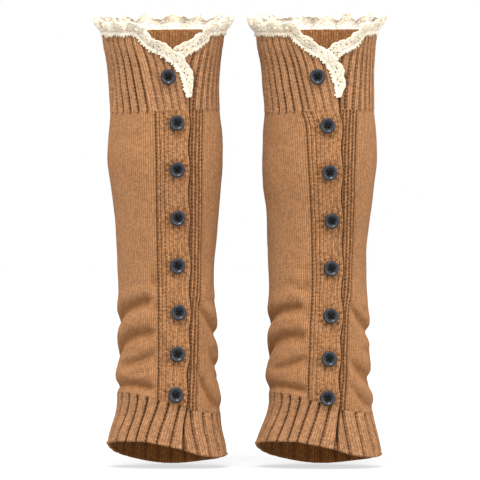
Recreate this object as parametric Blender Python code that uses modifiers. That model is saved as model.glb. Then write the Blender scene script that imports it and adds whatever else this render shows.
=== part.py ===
"""Pair of knitted boot cuffs, buttoned at the front, with a lace top edge.

Each cuff is a hollow tube of knitted cloth in the shape it has round a calf:
a plain knitted body, a wide ribbed band above and below, an over placket that
laps an under placket at the front, lace round the top, and eight buttons.

Frame: metres, +Z up, the fronts face -Y, +X is to the right seen from the
front.  The origin lies midway between the two cuffs, at the lower edge of the
top bands.  All sizes below are millimetres; angles go round the tube from the
centre front (0) by the right side (90) and the back (180) to the left side
(270) and the front again (360).  The cloth runs once round and laps itself, so
an angle a little over 360 lies on the over flap and one near 0 on the under
flap.
"""

import bmesh
import bpy
import math
from mathutils import Matrix, Vector

MM = 0.001

# ---------------------------------------------------------------- sizes (mm)
CUFF_AXIS_X = {"L": -72.0, "R": 76.3}
DEPTH_RATIO = 0.90          # front-to-back depth over side-to-side width

BODY_WALL = 2.2
BAND_WALL = 2.8
PLACKET_WALL = 2.4
LACE_WALL = 1.2
SEAM_GAP = 0.6              # between the edges of two pieces that are sewn

OVER_LIFT = 2.8             # over flap stands this far out of the tube
UNDER_DROP = 2.0            # under flap is pressed this far in

LACE_BELOW = 3.0            # lace laid over the knitted edge
LACE_ABOVE = 14.0           # lace standing past the edge
LACE_FLARE = 22.0           # degrees that it leans outward
LACE_CLEAR = 0.4            # between lace and knit

BUTTON_D = 14.8
BUTTON_T = 3.2
BUTTON_HOLE_D = 1.9
BUTTON_HOLE_AT = 1.65
BUTTON_CLEAR = 0.7

# Sections: how far the tube reaches to the left and right of its axis.
#   height, L reach left, L reach right, R reach left, R reach right
SECTIONS = (
    (95.0, 60.5, 58.5, 61.0, 56.0),
    (79.0, 59.5, 56.6, 60.0, 54.2),
    (63.0, 58.1, 54.7, 59.0, 52.3),
    (46.0, 54.7, 52.3, 55.2, 51.4),
    (23.0, 52.8, 50.9, 53.3, 51.4),
    (2.0, 51.8, 50.9, 51.8, 51.8),
    (-22.0, 52.8, 53.8, 53.3, 53.8),
    (-46.0, 53.8, 54.2, 54.2, 53.8),
    (-69.0, 50.9, 52.8, 53.3, 51.4),
    (-92.0, 48.0, 50.9, 49.9, 48.5),
    (-126.0, 45.9, 48.0, 48.5, 44.5),
    (-161.0, 44.2, 46.1, 48.0, 43.9),
    (-196.0, 43.7, 48.5, 48.2, 46.4),
    (-230.0, 43.9, 49.0, 48.4, 47.5),
    (-253.0, 45.0, 49.2, 49.6, 48.0),
    (-276.0, 44.2, 51.8, 47.2, 49.4),
    (-288.0, 45.6, 51.6, 49.0, 49.4),
    (-305.0, 50.9, 53.8, 55.2, 53.3),
    (-319.0, 54.2, 57.1, 60.0, 56.6),
    (-333.0, 56.8, 58.8, 62.0, 58.4),
    (-350.0, 58.0, 60.0, 63.0, 59.5),
)

# Edges of the tube's pieces round the tube.
#   angle, top band's upper edge, its lower edge, body's lower edge, hem
LEVELS = (
    (-20.0, 76.0, 0.5, -279.0, -314.0),
    (0.0, 76.0, 0.5, -281.0, -315.5),
    (20.0, 76.0, 1.0, -284.0, -323.5),
    (40.0, 75.0, 1.5, -287.0, -328.8),
    (62.0, 76.5, 2.0, -289.0, -330.5),
    (90.0, 79.0, 2.5, -288.0, -329.5),
    (135.0, 81.0, 2.0, -283.5, -335.5),
    (180.0, 81.5, 1.5, -278.5, -339.4),
    (225.0, 80.0, 0.5, -274.0, -331.5),
    (270.0, 77.0, -0.5, -270.5, -319.0),
    (300.0, 75.5, -1.0, -270.0, -315.5),
    (322.0, 74.5, -1.0, -271.3, -314.9),
    (340.0, 74.5, -0.5, -273.8, -315.0),
    (360.0, 74.5, 0.0, -277.5, -318.6),
    (380.0, 74.5, 0.5, -282.0, -323.0),
    (400.0, 74.5, 0.5, -285.0, -325.0),
)

# V opening of the top band: side position of the two cut fronts.
#   height, L over front, R over front, L under front, R under front
V_OPENING = (
    (74.0, -26.0, -26.5, 41.0, 39.5),
    (67.5, -19.5, -20.5, 37.5, 36.0),
    (62.0, -14.0, -15.3, 31.0, 29.5),
    (57.0, -6.2, -7.8, 22.6, 21.0),
    (52.5, 1.4, -0.4, 17.6, 16.0),
    (47.0, 8.2, 5.0, 13.8, 12.2),
    (39.5, 14.2, 10.3, 10.4, 8.8),
    (28.5, 18.6, 13.9, 5.6, 4.0),
    (18.5, 20.9, 15.8, 1.0, -0.6),
    (12.5, 22.0, 16.8, -2.0, -3.6),
)

# Plackets: side positions of their long edges.
#   height, L over left, L over right, L under right, R over left,
#   R over right, R under right
PLACKETS = (
    (4.0, -8.0, 22.2, 36.1, -17.5, 16.6, 34.7),
    (-13.0, -7.6, 22.7, 36.1, -12.8, 19.4, 34.2),
    (-46.0, -6.8, 22.7, 35.6, -10.7, 19.8, 33.3),
    (-84.0, -6.5, 22.7, 35.5, -8.6, 19.8, 32.3),
    (-128.0, -5.9, 23.0, 34.7, -7.3, 20.3, 30.9),
    (-171.0, -5.0, 23.2, 33.7, -7.0, 19.8, 29.4),
    (-200.0, -4.8, 23.2, 32.3, -8.4, 19.8, 27.0),
    (-228.0, -4.7, 22.7, 31.8, -9.2, 18.4, 26.1),
    (-252.0, -5.0, 21.2, 31.3, -10.3, 17.4, 25.6),
    (-290.0, -5.6, 20.4, 30.6, -10.4, 17.2, 23.8),
)
UNDER_PLACKET_WIDTH = 29.0

# Over flap's free edge on the hem band: height, L, R
HEM_FRONT = (
    (-278.0, 20.6, 17.6),
    (-300.0, 17.0, 15.0),
    (-330.0, 16.4, 14.6),
)

# Buttons, top to bottom: L side, L height, R side, R height
BUTTONS = (
    (3.4, 31.9, -2.6, 31.9),
    (11.1, -12.1, 6.2, -14.7),
    (11.4, -56.2, 7.9, -59.0),
    (11.8, -102.2, 9.6, -104.8),
    (11.4, -147.6, 9.1, -150.1),
    (12.6, -191.9, 8.8, -195.2),
    (11.5, -231.6, 7.5, -235.9),
    (10.3, -270.2, 6.4, -273.1),
)
SCALLOP = 1.7               # placket's free edge swells at each button

# Folds of the slack cloth above the hem: a trough through three points.
#   angle and height of its start, middle and end, depth, half width
FOLDS = {
    "L": (
        (250.0, -206.0, 302.0, -188.0, 347.0, -180.0, 5.0, 6.0),
        (250.0, -242.0, 305.0, -216.0, 350.0, -211.5, 4.8, 6.5),
        (288.0, -243.0, 322.0, -238.5, 352.0, -229.0, 3.2, 6.0),
        (250.0, -268.0, 305.0, -260.5, 350.0, -264.5, 5.0, 6.0),
        (32.0, -177.0, 55.0, -197.0, 118.0, -212.0, 3.8, 6.0),
        (52.0, -229.0, 85.0, -243.0, 130.0, -242.0, 3.0, 6.0),
        (30.0, -232.0, 48.0, -262.0, 100.0, -284.0, 4.8, 7.0),
        (104.0, -186.0, 150.0, -194.0, 205.0, -189.0, 3.2, 7.5),
        (118.0, -224.0, 178.0, -217.0, 232.0, -223.0, 4.4, 7.5),
        (120.0, -262.0, 165.0, -250.0, 226.0, -253.0, 3.8, 7.0),
    ),
    "R": (
        (250.0, -208.0, 303.0, -191.0, 347.0, -187.0, 4.8, 6.0),
        (250.0, -243.0, 303.0, -216.5, 350.0, -216.0, 4.8, 6.5),
        (290.0, -249.0, 318.0, -243.0, 352.0, -234.5, 3.3, 6.0),
        (250.0, -270.0, 312.0, -262.5, 350.0, -268.5, 5.0, 6.0),
        (32.0, -180.0, 54.0, -197.0, 116.0, -210.0, 4.2, 6.0),
        (30.0, -234.0, 52.0, -247.0, 118.0, -250.0, 4.0, 6.5),
        (30.0, -256.0, 50.0, -272.0, 100.0, -284.0, 3.4, 6.0),
        (100.0, -190.0, 155.0, -197.0, 212.0, -191.0, 3.4, 7.5),
        (124.0, -228.0, 172.0, -221.0, 236.0, -227.0, 4.2, 7.5),
        (118.0, -264.0, 172.0, -254.0, 228.0, -256.0, 3.8, 7.0),
    ),
}

# Lace's width round the neck, as a share of its full width: angle, share
LACE_WIDTH = ((9.0, 0.66), (38.0, 0.70), (62.0, 0.80), (95.0, 0.88), (140.0, 1.0),
              (250.0, 1.0), (280.0, 0.88), (316.0, 0.78), (338.0, 0.66), (358.0, 0.60),
              (395.0, 0.58))

COLOURS = {
    "knit": ((0.45, 0.225, 0.10), 0.85),
    "lace": ((0.86, 0.78, 0.64), 0.80),
    "button": ((0.035, 0.038, 0.045), 0.30),
}


# ------------------------------------------------------------- plain helpers
def smoothstep(t):
    t = min(max(t, 0.0), 1.0)
    return t * t * (3.0 - 2.0 * t)


def along(table, x, column):
    """Smooth value of one column of a table whose first column is x."""
    rows = table if table[0][0] < table[-1][0] else table[::-1]
    if x <= rows[0][0]:
        return rows[0][column]
    if x >= rows[-1][0]:
        return rows[-1][column]
    i = 0
    while rows[i + 1][0] < x:
        i += 1

    def slope(k):
        if k == 0:
            k = 1
        if k == len(rows) - 1:
            k = len(rows) - 2
        return ((rows[k + 1][column] - rows[k - 1][column])
                / (rows[k + 1][0] - rows[k - 1][0]))

    x0, x1 = rows[i][0], rows[i + 1][0]
    y0, y1 = rows[i][column], rows[i + 1][column]
    h = x1 - x0
    t = (x - x0) / h
    return ((2 * t ** 3 - 3 * t ** 2 + 1) * y0
            + (t ** 3 - 2 * t ** 2 + t) * h * slope(i)
            + (-2 * t ** 3 + 3 * t ** 2) * y1
            + (t ** 3 - t ** 2) * h * slope(i + 1))


# ------------------------------------------------------------ the tube's form
def reach(cuff, z):
    """Centre and half width of the tube at a height."""
    k = 1 if cuff == "L" else 3
    left, right = along(SECTIONS, z, k), along(SECTIONS, z, k + 1)
    return (right - left) / 2.0, (right + left) / 2.0


def angle_at(cuff, side, z):
    """Angle of the front point that lies at a side position and height."""
    centre, half = reach(cuff, z)
    return math.degrees(math.asin(max(-0.98, min(0.98, (side - centre) / half))))


def lift(angle):
    """How far a flap stands out of the tube or is pressed into it."""
    return (OVER_LIFT * smoothstep((angle - 318.0) / 30.0)
            - UNDER_DROP * (1.0 - smoothstep((angle - 24.0) / 20.0)))


def fold(cuff, angle, z):
    """Outward move of the cloth by its folds, which end above the hem band."""
    out = 0.0
    fade = smoothstep((z - along(LEVELS, angle, 3)) / 12.0)
    if fade <= 0.0:
        return 0.0
    for a0, z0, a1, z1, a2, z2, depth, width in FOLDS[cuff]:
        if not a0 < angle < a2:
            continue
        line = (z0 * (angle - a1) * (angle - a2) / ((a0 - a1) * (a0 - a2))
                + z1 * (angle - a0) * (angle - a2) / ((a1 - a0) * (a1 - a2))
                + z2 * (angle - a0) * (angle - a1) / ((a2 - a0) * (a2 - a1)))
        ends = smoothstep((angle - a0) / 20.0) * smoothstep((a2 - angle) / 12.0)
        s = z - line
        w = width * (0.65 if s > 0 else 1.3)
        out -= depth * ends * math.exp(-(s / w) ** 2)
        over = (s - 1.9 * width) / (1.2 * width)
        out += 0.22 * depth * ends * math.exp(-over ** 2)
    return out * fade


def tube_point(cuff, angle, z, out=0.0):
    """Point of the cloth's middle surface, moved out by a distance."""
    centre, half = reach(cuff, z)
    a = math.radians(angle)
    normal = Vector((math.sin(a) * DEPTH_RATIO, -math.cos(a), 0.0)).normalized()
    base = Vector((CUFF_AXIS_X[cuff] + centre + half * math.sin(a),
                   -half * DEPTH_RATIO * math.cos(a), z))
    return base + normal * (out + lift(angle) + fold(cuff, angle, z))


def tube_normal(cuff, angle, z):
    du = (tube_point(cuff, angle + 1.0, z) - tube_point(cuff, angle - 1.0, z))
    dz = (tube_point(cuff, angle, z + 1.0) - tube_point(cuff, angle, z - 1.0))
    return du.cross(dz).normalized()


# --------------------------------------------------------- edges of the pieces
def v_edge(cuff):
    """The top band's upper edge as (angle, height), from flap to flap."""
    k = 1 if cuff == "L" else 2
    under = [(angle_at(cuff, row[k + 2], row[0]), row[0])
             for row in V_OPENING[::-1]]
    over = [(360.0 + angle_at(cuff, row[k], row[0]), row[0])
            for row in V_OPENING]
    round_back = [(row[0], row[1]) for row in LEVELS
                  if under[-1][0] + 8.0 < row[0] < over[0][0] - 5.0]
    return under + round_back + over


def front_edge(cuff, kind, z):
    """Angle of a placket's long edge at a height."""
    column = {"over_left": 1, "over_right": 2, "under_right": 3}[kind]
    column += 0 if cuff == "L" else 3
    side = along(PLACKETS, z, column)
    if kind == "over_right":
        k = 0 if cuff == "L" else 2
        near = min(abs(z - row[k + 1]) for row in BUTTONS)
        side += SCALLOP * (0.5 + 0.5 * math.cos(math.pi * min(near / 22.0, 1.0)))
        side -= SCALLOP * 0.8
    turn = 360.0 if kind.startswith("over") else 0.0
    return turn + angle_at(cuff, side, z)


def under_left(cuff, z):
    side = along(PLACKETS, z, 3 if cuff == "L" else 6) - UNDER_PLACKET_WIDTH
    return angle_at(cuff, side, z)


def gap_angle(cuff, z):
    """Half a seam gap as an angle."""
    return math.degrees(SEAM_GAP / 2.0 / reach(cuff, z)[1])


# ---------------------------------------------------------------- the building
for old in list(bpy.data.objects):
    bpy.data.objects.remove(old, do_unlink=True)

parts = bpy.data.collections.new("knitted_boot_cuffs")
cutters = bpy.data.collections.new("cutters")
bpy.context.scene.collection.children.link(parts)
bpy.context.scene.collection.children.link(cutters)

pair = bpy.data.objects.new("pair", None)
parts.objects.link(pair)
holders = {}
for side in ("L", "R"):
    holders[side] = bpy.data.objects.new(side + "_cuff", None)
    parts.objects.link(holders[side])
    holders[side].parent = pair


def material(name, kind):
    colour, rough = COLOURS[kind]
    mat = bpy.data.materials.new(name)
    mat.use_nodes = True
    shader = mat.node_tree.nodes["Principled BSDF"]
    shader.inputs["Base Color"].default_value = (*colour, 1.0)
    shader.inputs["Roughness"].default_value = rough
    mat.diffuse_color = (*colour, 1.0)
    return mat


def cloth(cuff, name, kind, wall, rows):
    """One piece of cloth: an open surface through rows of points, thickened."""
    bm = bmesh.new()
    grid = [[bm.verts.new(p * MM) for p in row] for row in rows]
    for lower, upper in zip(grid, grid[1:]):
        for i in range(len(lower) - 1):
            bm.faces.new((lower[i], lower[i + 1], upper[i + 1], upper[i]))
    mesh = bpy.data.meshes.new(name)
    bm.to_mesh(mesh)
    bm.free()
    mesh.shade_smooth()
    obj = bpy.data.objects.new(cuff + "_" + name, mesh)
    parts.objects.link(obj)
    obj.parent = holders[cuff]
    mesh.materials.append(material(obj.name, kind))
    solid = obj.modifiers.new("wall", "SOLIDIFY")
    solid.thickness = wall * MM
    solid.offset = 0.0
    solid.use_even_offset = True
    return obj


def between(cuff, columns, rows, left, right, bottom, top):
    """Rows of tube points between two long edges and two level edges.

    left and right give an angle for a height, bottom and top a height for an
    angle; rows are fractions of the height.
    """
    out = []
    for v in rows:
        line = []
        for i in range(columns + 1):
            u = i / columns
            z = 0.0
            angle = left(z) * (1 - u) + right(z) * u
            for _ in range(6):
                z = bottom(angle) * (1 - v) + top(angle) * v
                angle = left(z) * (1 - u) + right(z) * u
            line.append(tube_point(cuff, angle, z))
        out.append(line)
    return out


def even(n):
    return [i / n for i in range(n + 1)]


def make_cuff(cuff):
    half_gap = SEAM_GAP / 2.0
    edge = v_edge(cuff)

    def upper(angle):
        return along(edge, angle, 1)

    def band_foot(angle):
        return along(LEVELS, angle, 2)

    def body_foot(angle):
        return along(LEVELS, angle, 3)

    def hem(angle):
        return along(LEVELS, angle, 4)

    # The band's upper edge, from flap to flap: its corner points, with even
    # steps between them round the back.
    stations = [p[0] for p in edge]
    angles = [stations[0]]
    for a0, a1 in zip(stations, stations[1:]):
        n = max(1, round((a1 - a0) / 9.0))
        angles += [a0 + (a1 - a0) * i / n for i in range(1, n + 1)]

    # Top band: columns stand on the stations of its upper edge.
    rows = [[tube_point(cuff, a, (band_foot(a) + half_gap) * (1 - v) + upper(a) * v)
             for a in angles] for v in even(4)]
    cloth(cuff, "top_band", "knit", BAND_WALL, rows)

    # Lace: a strip that follows the band's upper edge from flap to flap.
    line = [(a, upper(a)) for a in angles if a > 9.0]
    rows = [[], [], []]
    for i, (a, z) in enumerate(line):
        a0, z0 = line[max(i - 1, 0)]
        a1, z1 = line[min(i + 1, len(line) - 1)]
        per_degree = math.radians(reach(cuff, z)[1])
        run, rise = (a1 - a0) * per_degree, z1 - z0
        length = math.hypot(run, rise)
        side, up = -rise / length, run / length
        taper = along(LACE_WIDTH, a, 1)
        if a > 180.0:
            taper *= 0.30 + 0.70 * smoothstep((z - 11.0) / 20.0)
        lean = math.radians(LACE_FLARE) * smoothstep((a - 22.0) / 30.0)
        if a > 340.0:
            lean *= 1.0 - 0.75 * smoothstep((a - 340.0) / 20.0)
        off = BAND_WALL / 2 + LACE_CLEAR + LACE_WALL / 2
        for row, w in ((rows[0], -LACE_BELOW), (rows[1], LACE_ABOVE * 0.35 * taper),
                       (rows[2], LACE_ABOVE * taper)):
            flat = w * math.cos(lean) if w > 0.0 else w
            row.append(tube_point(cuff, a + side * flat / per_degree, z + up * flat,
                                  off + max(w, 0.0) * math.sin(lean)))
    cloth(cuff, "lace", "lace", LACE_WALL, rows)

    # Body: from the under placket round the back to the over placket.  Its
    # rows lie closer where the cloth is slack; the plackets share them.
    slack = [0.44 * i / 12 for i in range(13)] + [0.44 + 0.56 * i / 12
                                                   for i in range(1, 13)]
    rows = between(cuff, 20, slack,
                   lambda z: front_edge(cuff, "under_right", z) + gap_angle(cuff, z),
                   lambda z: front_edge(cuff, "over_left", z) - gap_angle(cuff, z),
                   lambda a: body_foot(a) + half_gap,
                   lambda a: band_foot(a) - half_gap)
    cloth(cuff, "body", "knit", BODY_WALL, rows)

    # Plackets.
    rows = between(cuff, 3, slack,
                   lambda z: front_edge(cuff, "over_left", z) + gap_angle(cuff, z),
                   lambda z: front_edge(cuff, "over_right", z),
                   lambda a: body_foot(a) + half_gap,
                   lambda a: band_foot(a) - half_gap)
    cloth(cuff, "placket", "knit", PLACKET_WALL, rows)
    rows = between(cuff, 2, slack,
                   lambda z: under_left(cuff, z),
                   lambda z: front_edge(cuff, "under_right", z) - gap_angle(cuff, z),
                   lambda a: body_foot(a) + half_gap,
                   lambda a: band_foot(a) - half_gap)
    cloth(cuff, "under_placket", "knit", PLACKET_WALL, rows)

    # Hem band.
    column = 1 if cuff == "L" else 2
    rows = between(cuff, 34, even(3),
                   lambda z: -8.0,
                   lambda z: 360.0 + angle_at(cuff, along(HEM_FRONT, z, column), z),
                   lambda a: hem(a),
                   lambda a: body_foot(a) - half_gap)
    cloth(cuff, "hem_band", "knit", BAND_WALL, rows)


def turned_button():
    """Button with a raised round rim, a dished face and four holes."""
    r, t = BUTTON_D / 2, BUTTON_T
    profile = ((0.0, t * 0.60), (r * 0.62, t * 0.62), (r * 0.80, t),
               (r, t * 0.58), (r * 0.80, 0.0), (0.0, 0.0))
    mesh = bpy.data.meshes.new("button_profile")
    mesh.from_pydata([(x * MM, 0.0, z * MM) for x, z in profile],
                     [(i, i + 1) for i in range(len(profile) - 1)], [])
    blank = bpy.data.objects.new("button_blank", mesh)
    cutters.objects.link(blank)
    screw = blank.modifiers.new("turn", "SCREW")
    screw.steps = screw.render_steps = 14
    screw.use_merge_vertices = True
    screw.merge_threshold = 0.00001
    bm = bmesh.new()
    for sx in (-1, 1):
        for sy in (-1, 1):
            bmesh.ops.create_cone(
                bm, cap_ends=True, segments=5, radius1=BUTTON_HOLE_D / 2 * MM,
                radius2=BUTTON_HOLE_D / 2 * MM, depth=3 * t * MM,
                matrix=Matrix.Translation((sx * BUTTON_HOLE_AT * MM,
                                           sy * BUTTON_HOLE_AT * MM, 0.0)))
    hole_mesh = bpy.data.meshes.new("button_holes")
    bm.to_mesh(hole_mesh)
    bm.free()
    holes = bpy.data.objects.new("button_holes", hole_mesh)
    cutters.objects.link(holes)
    cut = blank.modifiers.new("holes", "BOOLEAN")
    cut.operation = "DIFFERENCE"
    cut.solver = "EXACT"
    cut.object = holes
    for guide in (blank, holes):
        guide.hide_render = True
        guide.display_type = "WIRE"
    bpy.context.view_layer.update()
    ready = blank.evaluated_get(bpy.context.evaluated_depsgraph_get())
    made = bpy.data.meshes.new_from_object(ready)
    made.name = "button"
    made.shade_smooth()
    made.set_sharp_from_angle(angle=math.radians(50.0))
    bpy.data.objects.remove(blank, do_unlink=True)
    bpy.data.objects.remove(holes, do_unlink=True)
    return made


make_cuff("L")
make_cuff("R")

button_mesh = turned_button()
button_mesh.materials.clear()
button_mesh.materials.append(material("button", "button"))
for side in ("L", "R"):
    k = 0 if side == "L" else 2
    for number, row in enumerate(BUTTONS, 1):
        z = row[k + 1]
        angle = 360.0 + angle_at(side, row[k], z)
        normal = tube_normal(side, angle, z)
        stand = BAND_WALL / 2 + BUTTON_CLEAR
        button = bpy.data.objects.new("%s_button_%d" % (side, number), button_mesh)
        parts.objects.link(button)
        button.parent = holders[side]
        turn = Vector((0.0, 0.0, 1.0)).rotation_difference(normal).to_matrix().to_4x4()
        spin = Matrix.Rotation(math.radians(7.0 * ((number * 3) % 5 - 2)), 4, "Z")
        button.matrix_world = (Matrix.Translation(
            tube_point(side, angle, z, stand) * MM) @ turn @ spin)
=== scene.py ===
"""Looks of the pair of knitted boot cuffs: knit shells, crochet lace, buttons.

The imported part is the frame.  Every cloth piece here is a thin closed shell on
the form of its own CAD solid, with the ribs, placket stitches, folds and
rounded edges modelled, and the fine knit in its material.  Sizes are
millimetres until a mesh is written; angles go round a cuff from the centre
front (0) by its right side (90) and back (180) to the front again (360).
"""
import math

import bpy
import numpy as np
from mathutils import Matrix, Vector


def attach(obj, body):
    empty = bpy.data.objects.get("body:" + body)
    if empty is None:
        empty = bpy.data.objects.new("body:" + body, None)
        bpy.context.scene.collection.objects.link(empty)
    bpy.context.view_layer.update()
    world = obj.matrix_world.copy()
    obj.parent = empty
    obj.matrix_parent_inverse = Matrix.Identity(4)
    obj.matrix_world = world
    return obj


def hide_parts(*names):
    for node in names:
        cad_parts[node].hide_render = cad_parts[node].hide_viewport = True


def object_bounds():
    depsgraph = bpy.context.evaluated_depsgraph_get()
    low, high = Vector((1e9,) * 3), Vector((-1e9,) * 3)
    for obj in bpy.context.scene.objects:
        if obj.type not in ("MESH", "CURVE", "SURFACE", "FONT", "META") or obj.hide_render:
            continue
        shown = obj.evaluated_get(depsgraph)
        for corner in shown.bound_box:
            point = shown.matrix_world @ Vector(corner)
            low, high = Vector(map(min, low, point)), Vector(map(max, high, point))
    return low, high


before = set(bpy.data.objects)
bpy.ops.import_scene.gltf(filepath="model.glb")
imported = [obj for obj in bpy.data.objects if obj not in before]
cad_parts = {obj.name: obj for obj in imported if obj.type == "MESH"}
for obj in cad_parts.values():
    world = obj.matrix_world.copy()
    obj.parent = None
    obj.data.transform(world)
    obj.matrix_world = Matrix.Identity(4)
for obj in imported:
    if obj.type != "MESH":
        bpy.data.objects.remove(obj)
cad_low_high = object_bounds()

MM = 0.001

# ------------------------------------------------------------------ the form
CUFF_AXIS_X = {"L": -72.0, "R": 76.3}
DEPTH_RATIO = 0.90
BODY_WALL, BAND_WALL, PLACKET_WALL, LACE_WALL = 2.2, 2.8, 2.4, 1.2
OVER_LIFT, UNDER_DROP = 2.8, 2.0
LACE_BELOW, LACE_ABOVE, LACE_FLARE, LACE_CLEAR = 3.0, 14.0, 22.0, 0.4
BUTTON_D, BUTTON_T, BUTTON_CLEAR = 14.8, 3.2, 0.7
UNDER_PLACKET_WIDTH = 29.0
SCALLOP = 1.7
SEAM = 0.12                 # between two shells that are sewn edge to edge

# height, L reach left, L reach right, R reach left, R reach right
SECTIONS = (
    (95.0, 60.5, 58.5, 61.0, 56.0),
    (79.0, 59.5, 56.6, 60.0, 54.2),
    (63.0, 58.1, 54.7, 59.0, 52.3),
    (46.0, 54.7, 52.3, 55.2, 51.4),
    (23.0, 52.8, 50.9, 53.3, 51.4),
    (2.0, 51.8, 50.9, 51.8, 51.8),
    (-22.0, 52.8, 53.8, 53.3, 53.8),
    (-46.0, 53.8, 54.2, 54.2, 53.8),
    (-69.0, 50.9, 52.8, 53.3, 51.4),
    (-92.0, 48.0, 50.9, 49.9, 48.5),
    (-126.0, 45.9, 48.0, 48.5, 44.5),
    (-161.0, 44.2, 46.1, 48.0, 43.9),
    (-196.0, 43.7, 48.5, 48.2, 46.4),
    (-230.0, 43.9, 49.0, 48.4, 47.5),
    (-253.0, 45.0, 49.2, 49.6, 48.0),
    (-276.0, 44.2, 51.8, 47.2, 49.4),
    (-288.0, 45.6, 51.6, 49.0, 49.4),
    (-305.0, 50.9, 53.8, 55.2, 53.3),
    (-319.0, 54.2, 57.1, 60.0, 56.6),
    (-333.0, 56.8, 58.8, 62.0, 58.4),
    (-350.0, 58.0, 60.0, 63.0, 59.5),
)

# angle, top band's upper edge, its lower edge, body's lower edge, hem
LEVELS = (
    (-20.0, 76.0, 0.5, -279.0, -314.0),
    (0.0, 76.0, 0.5, -281.0, -315.5),
    (20.0, 76.0, 1.0, -284.0, -323.5),
    (40.0, 75.0, 1.5, -287.0, -328.8),
    (62.0, 76.5, 2.0, -289.0, -330.5),
    (90.0, 79.0, 2.5, -288.0, -329.5),
    (135.0, 81.0, 2.0, -283.5, -335.5),
    (180.0, 81.5, 1.5, -278.5, -339.4),
    (225.0, 80.0, 0.5, -274.0, -331.5),
    (270.0, 77.0, -0.5, -270.5, -319.0),
    (300.0, 75.5, -1.0, -270.0, -315.5),
    (322.0, 74.5, -1.0, -271.3, -314.9),
    (340.0, 74.5, -0.5, -273.8, -315.0),
    (360.0, 74.5, 0.0, -277.5, -318.6),
    (380.0, 74.5, 0.5, -282.0, -323.0),
    (400.0, 74.5, 0.5, -285.0, -325.0),
)

# height, L over front, R over front, L under front, R under front
V_OPENING = (
    (74.0, -26.0, -26.5, 41.0, 39.5),
    (67.5, -19.5, -20.5, 37.5, 36.0),
    (62.0, -14.0, -15.3, 31.0, 29.5),
    (57.0, -6.2, -7.8, 22.6, 21.0),
    (52.5, 1.4, -0.4, 17.6, 16.0),
    (47.0, 8.2, 5.0, 13.8, 12.2),
    (39.5, 14.2, 10.3, 10.4, 8.8),
    (28.5, 18.6, 13.9, 5.6, 4.0),
    (18.5, 20.9, 15.8, 1.0, -0.6),
    (12.5, 22.0, 16.8, -2.0, -3.6),
)

# height, L over left, L over right, L under right, then the same for R
PLACKETS = (
    (4.0, -8.0, 22.2, 36.1, -17.5, 16.6, 34.7),
    (-13.0, -7.6, 22.7, 36.1, -12.8, 19.4, 34.2),
    (-46.0, -6.8, 22.7, 35.6, -10.7, 19.8, 33.3),
    (-84.0, -6.5, 22.7, 35.5, -8.6, 19.8, 32.3),
    (-128.0, -5.9, 23.0, 34.7, -7.3, 20.3, 30.9),
    (-171.0, -5.0, 23.2, 33.7, -7.0, 19.8, 29.4),
    (-200.0, -4.8, 23.2, 32.3, -8.4, 19.8, 27.0),
    (-228.0, -4.7, 22.7, 31.8, -9.2, 18.4, 26.1),
    (-252.0, -5.0, 21.2, 31.3, -10.3, 17.4, 25.6),
    (-290.0, -5.6, 20.4, 30.6, -10.4, 17.2, 23.8),
)

# Over flap's free edge on the hem band: height, L, R
HEM_FRONT = ((-278.0, 20.6, 17.6), (-300.0, 17.0, 15.0), (-330.0, 16.4, 14.6))

# L side, L height, R side, R height
BUTTONS = (
    (3.4, 31.9, -2.6, 31.9),
    (11.1, -12.1, 6.2, -14.7),
    (11.4, -56.2, 7.9, -59.0),
    (11.8, -102.2, 9.6, -104.8),
    (11.4, -147.6, 9.1, -150.1),
    (12.6, -191.9, 8.8, -195.2),
    (11.5, -231.6, 7.5, -235.9),
    (10.3, -270.2, 6.4, -273.1),
)

# angle and height of a trough's start, middle and end, depth, half width
FOLDS = {
    "L": (
        (250.0, -206.0, 302.0, -188.0, 347.0, -180.0, 5.0, 6.0),
        (250.0, -242.0, 305.0, -216.0, 350.0, -211.5, 4.8, 6.5),
        (288.0, -243.0, 322.0, -238.5, 352.0, -229.0, 3.2, 6.0),
        (250.0, -268.0, 305.0, -260.5, 350.0, -264.5, 5.0, 6.0),
        (32.0, -177.0, 55.0, -197.0, 118.0, -212.0, 3.8, 6.0),
        (52.0, -229.0, 85.0, -243.0, 130.0, -242.0, 3.0, 6.0),
        (30.0, -232.0, 48.0, -262.0, 100.0, -284.0, 4.8, 7.0),
        (104.0, -186.0, 150.0, -194.0, 205.0, -189.0, 3.2, 7.5),
        (118.0, -224.0, 178.0, -217.0, 232.0, -223.0, 4.4, 7.5),
        (120.0, -262.0, 165.0, -250.0, 226.0, -253.0, 3.8, 7.0),
    ),
    "R": (
        (250.0, -208.0, 303.0, -191.0, 347.0, -187.0, 4.8, 6.0),
        (250.0, -243.0, 303.0, -216.5, 350.0, -216.0, 4.8, 6.5),
        (290.0, -249.0, 318.0, -243.0, 352.0, -234.5, 3.3, 6.0),
        (250.0, -270.0, 312.0, -262.5, 350.0, -268.5, 5.0, 6.0),
        (32.0, -180.0, 54.0, -197.0, 116.0, -210.0, 4.2, 6.0),
        (30.0, -234.0, 52.0, -247.0, 118.0, -250.0, 4.0, 6.5),
        (30.0, -256.0, 50.0, -272.0, 100.0, -284.0, 3.4, 6.0),
        (100.0, -190.0, 155.0, -197.0, 212.0, -191.0, 3.4, 7.5),
        (124.0, -228.0, 172.0, -221.0, 236.0, -227.0, 4.2, 7.5),
        (118.0, -264.0, 172.0, -254.0, 228.0, -256.0, 3.8, 7.0),
    ),
}

# Lace's width round the neck, as a share of its full width: angle, share
LACE_WIDTH = ((9.0, 0.66), (38.0, 0.70), (62.0, 0.80), (95.0, 0.88), (140.0, 1.0),
              (250.0, 1.0), (280.0, 0.88), (316.0, 0.78), (338.0, 0.66), (358.0, 0.60),
              (395.0, 0.58))

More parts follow.
